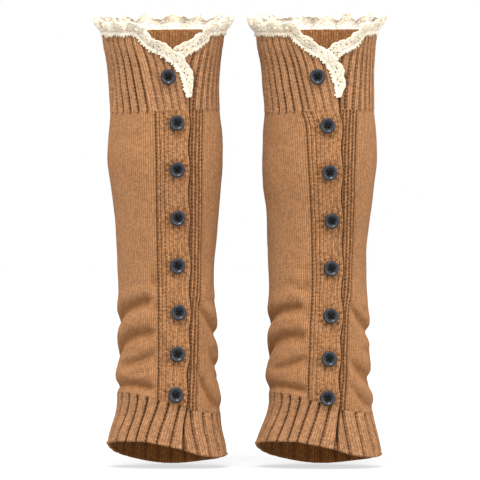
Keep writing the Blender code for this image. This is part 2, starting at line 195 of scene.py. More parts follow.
# Small creases that only the finished cloth has, in the same columns.
CREASES = {
    "L": (
        (318.0, -160.0, 334.0, -176.0, 350.0, -181.0, 0.9, 3.6),
        (282.0, -232.0, 306.0, -229.0, 330.0, -224.0, 1.0, 3.4),
        (300.0, -252.0, 322.0, -250.0, 346.0, -246.0, 1.1, 3.2),
        (42.0, -176.0, 70.0, -182.0, 104.0, -180.0, 1.0, 4.5),
        (46.0, -222.0, 66.0, -229.0, 90.0, -228.0, 1.2, 4.0),
        (60.0, -250.0, 80.0, -254.0, 112.0, -258.0, 1.1, 3.4),
        (292.0, -30.0, 316.0, -24.0, 344.0, -30.0, 0.6, 5.0),
        (136.0, -204.0, 172.0, -206.0, 208.0, -204.0, 1.3, 4.0),
        (200.0, -240.0, 228.0, -246.0, 262.0, -250.0, 1.4, 4.4),
        (128.0, -236.0, 150.0, -239.0, 190.0, -236.0, 1.2, 3.8),
    ),
    "R": (
        (322.0, -163.0, 336.0, -169.0, 349.0, -172.0, 1.5, 4.2),
        (284.0, -206.0, 306.0, -203.0, 336.0, -202.0, 0.9, 3.4),
        (292.0, -254.0, 318.0, -253.0, 348.0, -248.0, 1.1, 3.2),
        (44.0, -180.0, 58.0, -188.0, 84.0, -189.0, 1.3, 4.0),
        (44.0, -222.0, 64.0, -228.0, 96.0, -227.0, 1.2, 4.0),
        (56.0, -256.0, 76.0, -262.0, 104.0, -263.0, 1.1, 3.4),
        (288.0, -36.0, 314.0, -30.0, 340.0, -33.0, 0.6, 5.0),
        (140.0, -208.0, 176.0, -210.0, 214.0, -206.0, 1.3, 4.0),
        (196.0, -242.0, 230.0, -249.0, 258.0, -252.0, 1.4, 4.4),
        (124.0, -240.0, 152.0, -242.0, 192.0, -240.0, 1.2, 3.8),
    ),
}

# Puckers beside the placket: angle, height, depth, half width (degrees), half height
DENTS = {
    "L": ((347.0, -163.0, 2.4, 5.0, 6.5), (348.0, -188.5, 1.8, 4.0, 5.5),
          (331.0, -165.5, 0.9, 16.0, 3.0), (344.0, -146.0, 0.7, 9.0, 4.0)),
    "R": ((346.5, -169.0, 2.6, 4.8, 6.5), (348.0, -193.0, 1.6, 4.0, 8.0),
          (331.0, -165.0, 1.0, 13.0, 3.5), (341.0, -150.0, 0.7, 9.0, 4.0)),
}

# Rib count round the top band and the hem: angle, rib number at that angle.
RIBS_TOP = {
    "L": ((-14.0, -3.8), (23.5, 0.0), (72.5, 5.0), (300.4, 26.0), (343.3, 30.0),
          (354.2, 31.0), (361.3, 32.0), (369.3, 33.0), (376.5, 34.0), (392.0, 36.0)),
    "R": ((-14.0, -4.1), (27.6, 0.0), (74.0, 5.0), (300.4, 26.0), (332.5, 29.0),
          (342.2, 30.0), (348.5, 31.0), (355.6, 32.0), (364.0, 33.0), (384.0, 35.4)),
}
RIBS_HEM = {
    "L": ((-12.0, -3.2), (31.0, 0.0), (45.6, 1.0), (64.0, 2.3), (291.0, 19.0),
          (308.0, 20.2), (322.0, 21.2), (335.5, 22.2), (347.3, 23.2),
          (357.2, 24.1), (368.0, 25.0), (384.0, 26.3)),
    "R": ((-12.0, -3.2), (29.0, 0.0), (45.0, 1.0), (64.0, 2.3), (291.0, 19.0),
          (308.0, 20.2), (322.0, 21.2), (335.0, 22.2), (346.0, 23.2),
          (355.0, 24.1), (365.0, 25.0), (384.0, 26.5)),
}

# Angles where the lace's ruffle swings outward.
RUFFLE_PEAKS = (24.0, 46.0, 68.0, 99.0, 129.0, 151.0, 169.5, 195.0, 219.6,
                240.0, 262.0, 294.0, 315.0, 334.0, 352.0, 372.0, 392.0)


# ------------------------------------------------------------- plain helpers
def smoothstep(t):
    t = np.clip(t, 0.0, 1.0)
    return t * t * (3.0 - 2.0 * t)


class Curve:
    """Smooth curve through (x, y) points, flat past its ends."""

    def __init__(self, points):
        p = sorted(points)
        self.x = np.array([q[0] for q in p], float)
        self.y = np.array([q[1] for q in p], float)
        m = np.empty_like(self.x)
        m[1:-1] = (self.y[2:] - self.y[:-2]) / (self.x[2:] - self.x[:-2])
        m[0], m[-1] = m[1], m[-2]
        self.m = m

    def __call__(self, x):
        x = np.clip(np.asarray(x, float), self.x[0], self.x[-1])
        i = np.clip(np.searchsorted(self.x, x) - 1, 0, len(self.x) - 2)
        h = self.x[i + 1] - self.x[i]
        t = (x - self.x[i]) / h
        return ((2 * t ** 3 - 3 * t ** 2 + 1) * self.y[i]
                + (t ** 3 - 2 * t ** 2 + t) * h * self.m[i]
                + (-2 * t ** 3 + 3 * t ** 2) * self.y[i + 1]
                + (t ** 3 - t ** 2) * h * self.m[i + 1])


def column(table, k):
    return Curve([(row[0], row[k]) for row in table])


REACH = {"L": (column(SECTIONS, 1), column(SECTIONS, 2)),
         "R": (column(SECTIONS, 3), column(SECTIONS, 4))}
BAND_TOP, BAND_FOOT, BODY_FOOT, HEM = (column(LEVELS, k) for k in (1, 2, 3, 4))


def reach(cuff, z):
    left, right = REACH[cuff][0](z), REACH[cuff][1](z)
    return (right - left) / 2.0, (right + left) / 2.0


def angle_at(cuff, side, z):
    centre, half = reach(cuff, z)
    return np.degrees(np.arcsin(np.clip((side - centre) / half, -0.98, 0.98)))


def lift(angle):
    return (OVER_LIFT * smoothstep((angle - 318.0) / 30.0)
            - UNDER_DROP * (1.0 - smoothstep((angle - 24.0) / 20.0)))


def trough(rows, angle, z, ridge):
    out = np.zeros(np.broadcast(angle, z).shape)
    for a0, z0, a1, z1, a2, z2, depth, width in rows:
        inside = (angle > a0) & (angle < a2)
        line = (z0 * (angle - a1) * (angle - a2) / ((a0 - a1) * (a0 - a2))
                + z1 * (angle - a0) * (angle - a2) / ((a1 - a0) * (a1 - a2))
                + z2 * (angle - a0) * (angle - a1) / ((a2 - a0) * (a2 - a1)))
        ends = (smoothstep((angle - a0) / 20.0) * smoothstep((a2 - angle) / 12.0))
        s = z - line
        w = np.where(s > 0, 0.65, 1.3) * width
        over = (s - 1.9 * width) / (1.2 * width)
        out += np.where(inside, ends * depth * (ridge * np.exp(-over ** 2)
                                                - np.exp(-(s / w) ** 2)), 0.0)
    return out


def fold(cuff, angle, z, fine=True):
    fade = smoothstep((z - BODY_FOOT(angle)) / 12.0)
    out = trough(FOLDS[cuff], angle, z, 0.22)
    if fine:
        out = out + trough(CREASES[cuff], angle, z, 0.25)
        for a, h, depth, wide, high in DENTS[cuff]:
            out = out - depth * np.exp(-((angle - a) / wide) ** 2 - ((z - h) / high) ** 2)
    return out * fade


def swell(cuff, angle, z):
    """Slow, slight unevenness of hand-smoothed cloth, in mm."""
    a = np.radians(angle)
    k = 0.0 if cuff == "L" else 1.7
    return (0.28 * np.sin(2 * a + 0.031 * z + k) + 0.22 * np.sin(5 * a - 0.053 * z + 2 * k)
            + 0.14 * np.sin(9 * a + 0.11 * z + 3 * k)
            + 0.10 * np.sin(14 * a - 0.19 * z + k))


def tube(cuff, angle, z, out=0.0, fine=True):
    """Points of the cloth in mm, moved out by a distance."""
    centre, half = reach(cuff, z)
    a = np.radians(angle)
    nx, ny = np.sin(a) * DEPTH_RATIO, -np.cos(a)
    n = np.hypot(nx, ny)
    d = out + lift(angle) + fold(cuff, angle, z, fine)
    return np.stack([CUFF_AXIS_X[cuff] + centre + half * np.sin(a) + nx / n * d,
                     -half * DEPTH_RATIO * np.cos(a) + ny / n * d,
                     z + 0.0 * a], axis=-1)


# --------------------------------------------------------- edges of the pieces
def v_edge(cuff):
    k = 1 if cuff == "L" else 2
    under = [(float(angle_at(cuff, r[k + 2], r[0])), r[0]) for r in V_OPENING[::-1]]
    over = [(360.0 + float(angle_at(cuff, r[k], r[0])), r[0]) for r in V_OPENING]
    back = [(r[0], r[1]) for r in LEVELS
            if under[-1][0] + 8.0 < r[0] < over[0][0] - 5.0]
    return under + back + over


PLACKET_SIDES = {c: [column(PLACKETS, k + i) for i in (0, 1, 2)]
                 for c, k in (("L", 1), ("R", 4))}


def over_left(cuff, z):
    return 360.0 + angle_at(cuff, PLACKET_SIDES[cuff][0](z), z)


def over_right(cuff, z):
    k = 0 if cuff == "L" else 2
    near = np.min(np.abs(np.asarray(z)[..., None]
                         - np.array([row[k + 1] for row in BUTTONS])), axis=-1)
    side = PLACKET_SIDES[cuff][1](z) + SCALLOP * (
        0.5 + 0.5 * np.cos(np.pi * np.minimum(near / 22.0, 1.0))) - SCALLOP * 0.8
    return 360.0 + angle_at(cuff, side, z)


def under_right(cuff, z):
    return angle_at(cuff, PLACKET_SIDES[cuff][2](z), z)


def under_left(cuff, z):
    return angle_at(cuff, PLACKET_SIDES[cuff][2](z) - UNDER_PLACKET_WIDTH, z)


def gap_angle(cuff, z):
    return np.degrees(SEAM / 2.0 / reach(cuff, z)[1])


def lattice(u, v, left, right, bottom, top):
    """Angles and heights of a grid between two long edges and two level ones."""
    u, v = np.meshgrid(u, v)
    z = np.full(u.shape, -120.0)
    for _ in range(8):
        angle = left(z) * (1 - u) + right(z) * u
        z = bottom(angle) * (1 - v) + top(angle) * v
    angle = left(z) * (1 - u) + right(z) * u
    return angle, z


def steps(n, ends=(0.0, 0.0), tight=0.22):
    """n even steps from 0 to 1 (n even), drawn together at the chosen ends."""
    t = np.linspace(0.0, 1.0, n + 1)
    speed = np.ones(n)
    for k in range(4):
        if ends[0]:
            speed[k] = tight + (1 - tight) * k / 4
        if ends[1]:
            speed[n - 1 - k] = tight + (1 - tight) * k / 4
    t[1:] = np.cumsum(speed) / speed.sum()
    return t


def rounding(d, r):
    """How far a face is drawn in at distance d from a rounded edge."""
    x = np.clip(1.0 - d / r, 0.0, 0.985)
    return r * (1.0 - np.sqrt(1.0 - x * x))


# ------------------------------------------------------------- mesh building
total_triangles = {}


def write_mesh(name, verts, polys, uv=None, marks=None, smooth=True):
    """Mesh from vertex rows in mm and a list of polygon index arrays."""
    counts = np.concatenate([np.full(len(p), p.shape[1]) for p in polys])
    loops = np.concatenate([p.ravel() for p in polys]).astype(np.int32)
    mesh = bpy.data.meshes.new(name)
    mesh.vertices.add(len(verts))
    mesh.vertices.foreach_set("co", (verts * MM).astype(np.float32).ravel())
    mesh.loops.add(len(loops))
    mesh.loops.foreach_set("vertex_index", loops)
    mesh.polygons.add(len(counts))
    starts = np.concatenate([[0], np.cumsum(counts)[:-1]]).astype(np.int32)
    mesh.polygons.foreach_set("loop_start", starts)
    mesh.polygons.foreach_set("loop_total", counts.astype(np.int32))
    if uv is not None:
        layer = mesh.uv_layers.new(name="stitches")
        layer.data.foreach_set("uv", uv[loops].astype(np.float32).ravel())
    for key, values in (marks or {}).items():
        attr = mesh.attributes.new(key, "FLOAT", "POINT")
        attr.data.foreach_set("value", values.astype(np.float32))
    mesh.update(calc_edges=True)
    mesh.validate()
    if smooth:
        mesh.shade_smooth()
    obj = bpy.data.objects.new(name, mesh)
    bpy.context.scene.collection.objects.link(obj)
    total_triangles[name] = int((counts - 2).sum())
    return obj


def shell(name, outer, inner, uv, uv_in, marks, marks_in, shade=0.0,
          inner_painted_shade=1.0):
    """Closed shell: a fine outer grid, an inner grid of every second point."""
    nr, nc = outer.shape[:2]
    mr, mc = inner.shape[:2]
    base = nr * nc
    o = np.arange(nr * nc).reshape(nr, nc)
    i = base + np.arange(mr * mc).reshape(mr, mc)
    quads = [np.stack([o[:-1, :-1], o[:-1, 1:], o[1:, 1:], o[1:, :-1]], -1).reshape(-1, 4),
             np.stack([i[:-1, :-1], i[1:, :-1], i[1:, 1:], i[:-1, 1:]], -1).reshape(-1, 4)]
    tris = []
    for a, b, flip in ((o[0], i[0], False), (o[-1], i[-1], True),
                       (o[:, 0], i[:, 0], True), (o[:, -1], i[:, -1], False)):
        a0, a1, a2 = a[0:-1:2], a[1::2], a[2::2]
        b0, b1 = b[:-1], b[1:]
        for t in ((a0, b0, a1), (a1, b0, b1), (a1, b1, a2)):
            t = np.stack(t if not flip else t[::-1], -1)
            tris.append(t)
    verts = np.concatenate([outer.reshape(-1, 3), inner.reshape(-1, 3)])
    uvs = np.concatenate([uv.reshape(-1, 2), uv_in.reshape(-1, 2)])
    both = {k: np.concatenate([marks[k].ravel(), marks_in[k].ravel()]) for k in marks}
    shade = np.clip(np.broadcast_to(shade, outer.shape[:2]), 0.0, 1.0)
    # inside mark for painted shade: the given amount on the inner face and the given shade on the
    # outer face
    both["inside"] = np.concatenate([shade.ravel(), np.full(mr * mc, inner_painted_shade)])
    return write_mesh(name, verts, quads + [np.concatenate(tris)], uvs, both)


def tubes(paths, normals, radius, sides=5):
    """Round yarns along many paths at once, each (n, points, 3), with caps."""
    n, p = paths.shape[:2]
    t = np.gradient(paths, axis=1)
    t /= np.linalg.norm(t, axis=2, keepdims=True) + 1e-9
    b = np.cross(t, normals)
    b /= np.linalg.norm(b, axis=2, keepdims=True) + 1e-9
    m = np.cross(b, t)
    r = np.broadcast_to(np.asarray(radius, float), (n, p))
    phi = np.arange(sides) * 2 * np.pi / sides
    ring = (paths[:, :, None] + r[:, :, None, None] * (
        np.cos(phi)[None, None, :, None] * m[:, :, None]
        + np.sin(phi)[None, None, :, None] * b[:, :, None]))
    k = np.arange(n * p * sides).reshape(n, p, sides)
    nxt = np.roll(k, -1, axis=2)
    quads = np.stack([k[:, :-1], nxt[:, :-1], nxt[:, 1:], k[:, 1:]], -1).reshape(-1, 4)
    caps = np.concatenate([k[:, 0, ::-1], k[:, -1, :]])
    return ring.reshape(-1, 3), quads, caps


# ----------------------------------------------------------------- materials
KNIT_INSIDE_SHADE = (0.236, 0.092, 0.026, 1.0)   # painted shade colour of the reverse side and of the fold troughs


class Nodes:
    """Short way to write a shader's nodes."""

    def __init__(self, name):
        self.mat = bpy.data.materials.new(name)
        self.mat.use_nodes = True
        self.tree = self.mat.node_tree
        self.shader = self.tree.nodes["Principled BSDF"]

    def put(self, socket, value):
        if isinstance(value, bpy.types.NodeSocket):
            self.tree.links.new(value, socket)
        elif value is not None:
            socket.default_value = value

    def math(self, op, a, b=None, c=None, clamp=False):
        node = self.tree.nodes.new("ShaderNodeMath")
        node.operation = op
        node.use_clamp = clamp
        for s, v in zip(node.inputs, (a, b, c)):
            self.put(s, v)
        return node.outputs[0]

    def ramp(self, x, lo, hi, a=0.0, b=1.0):
        node = self.tree.nodes.new("ShaderNodeMapRange")
        node.interpolation_type = "SMOOTHSTEP"
        for s, v in zip(node.inputs, (x, lo, hi, a, b)):
            self.put(s, v)
        return node.outputs[0]

    def mix(self, factor, a, b, blend="MIX"):
        node = self.tree.nodes.new("ShaderNodeMix")
        node.data_type = "RGBA"
        node.blend_type = blend
        self.put(node.inputs[0], factor)
        self.put(node.inputs[6], a)
        self.put(node.inputs[7], b)
        return node.outputs[2]

    def uv(self):
        node = self.tree.nodes.new("ShaderNodeUVMap")
        node.uv_map = "stitches"
        split = self.tree.nodes.new("ShaderNodeSeparateXYZ")
        self.tree.links.new(node.outputs[0], split.inputs[0])
        return split.outputs[0], split.outputs[1]

    def attr(self, name):
        node = self.tree.nodes.new("ShaderNodeAttribute")
        node.attribute_name = name
        return node.outputs["Fac"]

    def noise(self, scale, detail=2.0, rough=0.5, stretch=None):
        coord = self.tree.nodes.new("ShaderNodeTexCoord").outputs["Object"]
        if stretch:
            m = self.tree.nodes.new("ShaderNodeMapping")
            m.inputs["Scale"].default_value = stretch
            self.tree.links.new(coord, m.inputs[0])
            coord = m.outputs[0]
        node = self.tree.nodes.new("ShaderNodeTexNoise")
        self.tree.links.new(coord, node.inputs["Vector"])
        node.inputs["Scale"].default_value = scale
        node.inputs["Detail"].default_value = detail
        node.inputs["Roughness"].default_value = rough
        return node.outputs["Fac"]

    def bump(self, height, distance, strength=1.0, normal=None):
        node = self.tree.nodes.new("ShaderNodeBump")
        node.inputs["Strength"].default_value = strength
        node.inputs["Distance"].default_value = distance
        self.put(node.inputs["Height"], height)
        if normal is not None:
            self.put(node.inputs["Normal"], normal)
        return node.outputs[0]


def knit_material(name, light, mid, painted_dark, slope=0.55, depth=0.00045, gap=0.6,
                  grain=0.30):
    """Wool-like knit: V stitches from the stitch coordinates, nap and sheen, with painted light on
    the stitch crests and painted shade in the gaps.
    """
    n = Nodes(name)
    u, v = n.uv()
    v = n.math("ADD", v, n.math("MULTIPLY", n.noise(110.0, 1.0), 0.9))
    u = n.math("ADD", u, n.math("MULTIPLY", n.noise(90.0, 1.0), 0.45))
    t = n.math("ABSOLUTE", n.math("SUBTRACT", n.math("MULTIPLY", n.math("FRACT", u), 2.0), 1.0))
    # a wale's two legs: a shallow crease between them, a much lower gap beside them
    side = n.math("SUBTRACT", 1.0, n.math("POWER", n.math("DIVIDE", n.math(
        "MAXIMUM", n.math("SUBTRACT", t, 0.42), 0.0), 0.58), 2.0))
    crease = n.math("MULTIPLY", n.math("POWER", n.math("DIVIDE", n.math(
        "MAXIMUM", n.math("SUBTRACT", 0.42, t), 0.0), 0.42), 2.0), 0.35)
    leg = n.math("SUBTRACT", side, crease)
    row = n.math("SUBTRACT", v, n.math("MULTIPLY", t, slope))
    phase = n.math("ABSOLUTE", n.math("SUBTRACT", n.math("MULTIPLY", n.math("FRACT", row), 2.0), 1.0))
    along = n.math("SUBTRACT", 1.0, n.math("POWER", phase, 2.4))
    height = n.math("MULTIPLY", leg, n.math("ADD", n.math("MULTIPLY", along, 0.5), 0.5))
    cell = n.tree.nodes.new("ShaderNodeCombineXYZ")
    n.put(cell.inputs[0], n.math("FLOOR", u))
    n.put(cell.inputs[1], n.math("FLOOR", row))
    each = n.tree.nodes.new("ShaderNodeTexWhiteNoise")
    n.tree.links.new(cell.outputs[0], each.inputs["Vector"])
    each = each.outputs["Value"]
    fibre = n.noise(2600.0, 3.0, 0.65)
    blotch = n.noise(34.0, 3.0, 0.55)
    speck = n.noise(560.0, 2.0, 0.6)
    # painted light and shade: stitch crests lighter, valleys darker
    crest = n.ramp(height, 0.15, 0.95)
    colour = n.mix(crest, mid, light)
    # inside: painted shade of the reverse side and of fold troughs
    inside = n.attr("inside")
    # painted shade in the stitch gaps, stronger on the inner face
    sunk = n.math("MULTIPLY", n.ramp(height, 0.50, 0.05),
                  n.math("MULTIPLY_ADD", inside, 0.45, gap))
    painted_shade = n.attr("painted_shade")
    colour = n.mix(inside, colour, KNIT_INSIDE_SHADE)
    # painted shade wherever the stitch gaps or the mesh's shade mark call for it
    painted_shade_at = n.math("MAXIMUM", sunk, painted_shade, clamp=True)
    colour = n.mix(painted_shade_at, colour, painted_dark)
    tone = n.math("ADD", n.math("MULTIPLY", blotch, 0.14), n.math("MULTIPLY", speck, 1.1 * grain))
    tone = n.math("ADD", tone, n.math("MULTIPLY", fibre, 0.25))
    tone = n.math("ADD", tone, n.math("MULTIPLY", each, grain))
    tone = n.math("ADD", tone, 1.0 - 0.07 - 0.55 * grain - 0.125 - 0.5 * grain)
    scale = n.tree.nodes.new("ShaderNodeVectorMath")
    scale.operation = "SCALE"
    n.tree.links.new(colour, scale.inputs[0])
    n.tree.links.new(tone, scale.inputs["Scale"])
    n.tree.links.new(scale.outputs[0], n.shader.inputs["Base Color"])
    relief = n.math("ADD", height, n.math("MULTIPLY", fibre, 0.35))
    relief = n.math("ADD", relief, n.math("MULTIPLY", speck, 0.45))
    relief = n.math("ADD", relief, n.math("MULTIPLY", each, 0.25))
    n.put(n.shader.inputs["Normal"], n.bump(relief, depth))
    rough = n.ramp(fibre, 0.2, 0.8, 0.82, 0.97)
    n.put(n.shader.inputs["Roughness"], rough)
    n.shader.inputs["Specular IOR Level"].default_value = 0.04
    n.shader.inputs["Sheen Weight"].default_value = 0.09
    n.shader.inputs["Sheen Roughness"].default_value = 0.5
    n.shader.inputs["Sheen Tint"].default_value = (1.0, 0.60, 0.34, 1.0)
    return n.mat


def lace_material(name):
    """Undyed cotton crochet: soft, twisted yarn, with painted shade in tan from its shade mark."""
    n = Nodes(name)
    fibre = n.noise(3000.0, 3.0, 0.6)
    speck = n.noise(500.0, 2.0, 0.6)
    blotch = n.noise(60.0, 2.0, 0.5)
    colour = n.mix(n.ramp(speck, 0.29, 0.48), (0.40, 0.29, 0.145, 1), (0.726, 0.660, 0.544, 1))
    colour = n.mix(n.math("MULTIPLY", n.ramp(blotch, 0.50, 0.75), 0.30), colour,
                   (0.62, 0.48, 0.28, 1))
    # painted shade: tan where the mesh's shade mark is set
    colour = n.mix(n.attr("painted_shade"), colour, (0.30, 0.20, 0.09, 1))
    n.put(n.shader.inputs["Base Color"], colour)
    relief = n.math("ADD", fibre, n.math("MULTIPLY", speck, 1.3))
    n.put(n.shader.inputs["Normal"], n.bump(relief, 0.00030))
    n.put(n.shader.inputs["Roughness"], n.ramp(fibre, 0.2, 0.8, 0.78, 0.95))
    n.shader.inputs["Specular IOR Level"].default_value = 0.25
    n.shader.inputs["Sheen Weight"].default_value = 0.15
    n.shader.inputs["Sheen Roughness"].default_value = 0.5
    n.shader.inputs["Subsurface Weight"].default_value = 0.0
    return n.mat


def button_material(name):
    """Charcoal resin: faint cloud in the colour, fine brushed rings, gloss."""
    n = Nodes(name)
    cloud = n.noise(300.0, 3.0, 0.6)
    fine = n.noise(1600.0, 2.0, 0.5)
    colour = n.mix(n.ramp(cloud, 0.3, 0.75), (0.0020, 0.0020, 0.0026, 1),
                   (0.0055, 0.0060, 0.0080, 1))
    # rim: a lighter, glossier ring, partly wear and partly a painted highlight
    edge = n.attr("rim")
    colour = n.mix(n.math("MULTIPLY", edge, 0.85), colour, (0.030, 0.034, 0.044, 1))
    n.put(n.shader.inputs["Base Color"], colour)
    n.put(n.shader.inputs["Roughness"], n.math("SUBTRACT", n.ramp(
        fine, 0.25, 0.75, 0.38, 0.50), n.math("MULTIPLY", edge, 0.24)))
    n.put(n.shader.inputs["Normal"], n.bump(fine, 0.00004))
    n.shader.inputs["IOR"].default_value = 1.54
    n.shader.inputs["Specular IOR Level"].default_value = 0.19
    return n.mat


def thread_material(name):
    n = Nodes(name)
    fibre = n.noise(3500.0, 2.0, 0.6)
    n.put(n.shader.inputs["Base Color"],
          n.mix(fibre, (0.001, 0.001, 0.001, 1), (0.004, 0.004, 0.004, 1)))
    n.put(n.shader.inputs["Normal"], n.bump(fibre, 0.00010))
    n.shader.inputs["Roughness"].default_value = 0.85
    n.shader.inputs["Specular IOR Level"].default_value = 0.06
    return n.mat


# lit crest and shaded valley tones of the one yarn, and the darkest tone, which is painted shade for
# gaps, grooves and cast shadows
KNIT_LIGHT = (0.318, 0.159, 0.074, 1.0)
KNIT_MID = (0.222, 0.096, 0.036, 1.0)
KNIT_PAINTED_SHADE = (0.026, 0.0062, 0.0006, 1.0)
KNIT_CREST = (0.418, 0.217, 0.107, 1.0)
KNIT_PLACKET = (0.345, 0.168, 0.075, 1.0)
MATS = {
    "body": knit_material("stockinette_knit", KNIT_LIGHT, KNIT_MID, KNIT_PAINTED_SHADE, gap=0.85,
                          grain=0.34),
    "rib": knit_material("rib_knit", KNIT_CREST, KNIT_MID, KNIT_PAINTED_SHADE, gap=0.75,
                         grain=0.46),
    "placket": knit_material("placket_knit", KNIT_PLACKET, KNIT_MID, KNIT_PAINTED_SHADE, gap=0.75,
                             grain=0.60),
    "lace": lace_material("crochet_cotton"),
    "button": button_material("charcoal_resin"),
    "thread": thread_material("button_thread"),
}


def finish_piece(obj, mat, node=None):
    obj.data.materials.clear()
    obj.data.materials.append(MATS[mat])
    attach(obj, "root")
    if node:
        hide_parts(node)
    return obj


# -------------------------------------------------------------- cloth pieces
def rib(u, pitch, depth, width=1.25, spread=1.2):
    """Relief of a wide rib and how dark its groove is, at rib number u."""
    f = u - np.floor(u)
    d = np.minimum(f, 1.0 - f) * pitch
    groove = np.exp(-(d / width) ** 2)
    crown = 1.0 - (2.0 * f - 1.0) ** 2
    return 0.55 * crown - 0.15 - depth * groove, np.exp(-(d / (spread * width)) ** 2)


def half(a):
    return a[::2, ::2]


def rib_pitch(ribs, angle, half_width):
    """Width of a rib in mm where it lies, from how fast the ribs are counted."""
    rate = np.gradient(ribs, axis=1) / np.gradient(angle, axis=1)
    return np.clip(np.radians(half_width) / np.clip(np.abs(rate), 0.02, 1.0), 3.2, 16.0)


def flap_shadow(distance, reach_mm):
    """How much painted shadow the flap over it casts on the cloth at a distance past its edge."""
    return smoothstep((reach_mm - distance) / reach_mm)


def band_shell(cuff, name, angle, z, u, pitch, fade, roll, cols_per_rib, row_mm,
               depth, sewn, seed, painted_dark_min=0.0, even=0.5, inner_painted_shade=1.0):
    """A ribbed band: fade is where its grooves die out, sewn the way to its seam."""
    rng = np.random.RandomState(seed)
    line = np.round(u)
    beat = 0.5 + 0.5 * np.cos(2 * np.pi * (z / 3.5 + 0.37 * line
                                          + 0.06 * np.sin(z / 5.0 + 2.0 * line)))
    u = u + 0.026 * np.sin(2 * np.pi * z / 3.5 + 1.3 * line)
    turned = np.abs(np.sin(np.radians(angle)))
    relief, groove = rib(u, pitch, depth, spread=1.02 + 0.42 * turned)
    mid = np.exp(-(((u - np.floor(u)) - 0.5) * pitch / 0.7) ** 2)
    relief = relief * fade - 0.28 * mid * (0.3 + 0.7 * beat) * (0.4 + 0.6 * fade)
    relief = relief - 0.40 * groove * beat * fade
    relief = relief + rng.normal(0.0, 0.08, z.shape)
    e = np.clip(sewn / 2.2, 0.0, 1.0)
    bump = np.sqrt(np.clip(1.0 - (1.0 - e) ** 2, 0.0, 1.0))
    full = BAND_WALL / 2 - 0.30 + relief
    out = (BODY_WALL / 2 + 0.03) * (1.0 - bump) + full * bump
    face = out + swell(cuff, angle, z) - roll
    outer = tube(cuff, angle, z, face)
    ra, rz, ru = half(angle), half(z), half(u)
    relief_in, groove_in = rib(ru + 0.5, half(pitch), 0.9, 1.5)
    back = -BAND_WALL / 2 - 0.5 * relief_in * half(fade) + half(roll) + swell(cuff, ra, rz)
    # the reverse side stays clear behind the floor of every groove
    low = face
    for axis in (0, 1):
        ahead, behind = np.roll(low, -1, axis), np.roll(low, 1, axis)
        low = np.minimum(low, np.minimum(ahead, behind))
    inner = tube(cuff, ra, rz, np.minimum(back, half(low) - 0.45))
    uv = np.stack([u * cols_per_rib, z / row_mm], -1)
    # painted shade in the rib grooves and along each rib's middle crease, and in the inner face's
    # grooves
    painted_shade = groove * (even + (1.0 - even) * beat) * fade
    painted_shade = np.maximum(painted_shade, 0.45 * mid * beat * (0.4 + 0.6 * fade))
    # least painted shade given by the caller, such as a flap's cast shadow
    painted_shade = np.maximum(painted_shade, painted_dark_min)
    marks_in = {"painted_shade": np.clip(groove_in * half(fade) * 0.55, 0, 1)}
    return shell(name, outer, inner, uv, half(uv), {"painted_shade": np.clip(painted_shade, 0, 1)}, marks_in,
                 inner_painted_shade=inner_painted_shade)


def make_top_band(cuff):
    edge = v_edge(cuff)
    upper = Curve(edge)
    first, last = edge[0][0], edge[-1][0]
    u, v = steps(430, (1, 1)), steps(76, (0, 1))
    angle = np.tile(first + (last - first) * u, (len(v), 1))
    vv = np.tile(v[:, None], (1, len(u)))
    low = BAND_FOOT(angle) - 0.55
    z = low * (1 - vv) + upper(angle) * vv
    # columns fan away from the V as they rise
    rise = np.clip(z / 62.0, 0.0, 1.25)
    lean = (12.5 * rise ** 1.15 * smoothstep((angle - 262.0) / 80.0)
            - 11.5 * rise ** 1.4 * (1.0 - smoothstep((angle - 26.0) / 70.0)))
    ribs = Curve(RIBS_TOP[cuff])(angle + lean)
    half_width = reach(cuff, z)[1]
    pitch = rib_pitch(ribs, angle, half_width)
    to_top = (upper(angle) - z)
    side_left = (angle - first) * np.radians(half_width)
    side_right = (last - angle) * np.radians(half_width)
    fade = 1.0 - 0.45 * smoothstep((z - 44.0) / 20.0)
    fade = fade * (1.0 - 0.36 * smoothstep((angle - 340.0) / 14.0))
    roll = np.maximum.reduce([rounding(to_top, 1.4), rounding(side_left, 1.4),
                              rounding(side_right, 1.4)])
    over_edge = Curve(sorted((row[0], row[1 if cuff == "L" else 2])
                             for row in V_OPENING))
    # painted shadow of the over flap and its lace on the under flap beside them
    past = (angle - angle_at(cuff, over_edge(np.minimum(z, 74.0)), z)) \
        * np.radians(half_width)
    laced = 1.8 + 11.0 * smoothstep((z - 11.0) / 16.0)
    painted_dark_min = np.where(z < 20.0, 0.95, 0.72) * flap_shadow(past - laced, 3.0) \
        * (angle < 60.0) * (z < 60.0)
    obj = band_shell(cuff, cuff + "_top_band_knit", angle, z, ribs, pitch, fade,
                     roll, 4.0, 1.65, 2.3, z - low, 41 if cuff == "L" else 42, painted_dark_min,
                     0.46, 0.62)
    finish_piece(obj, "rib", cuff + "_top_band")
    return obj


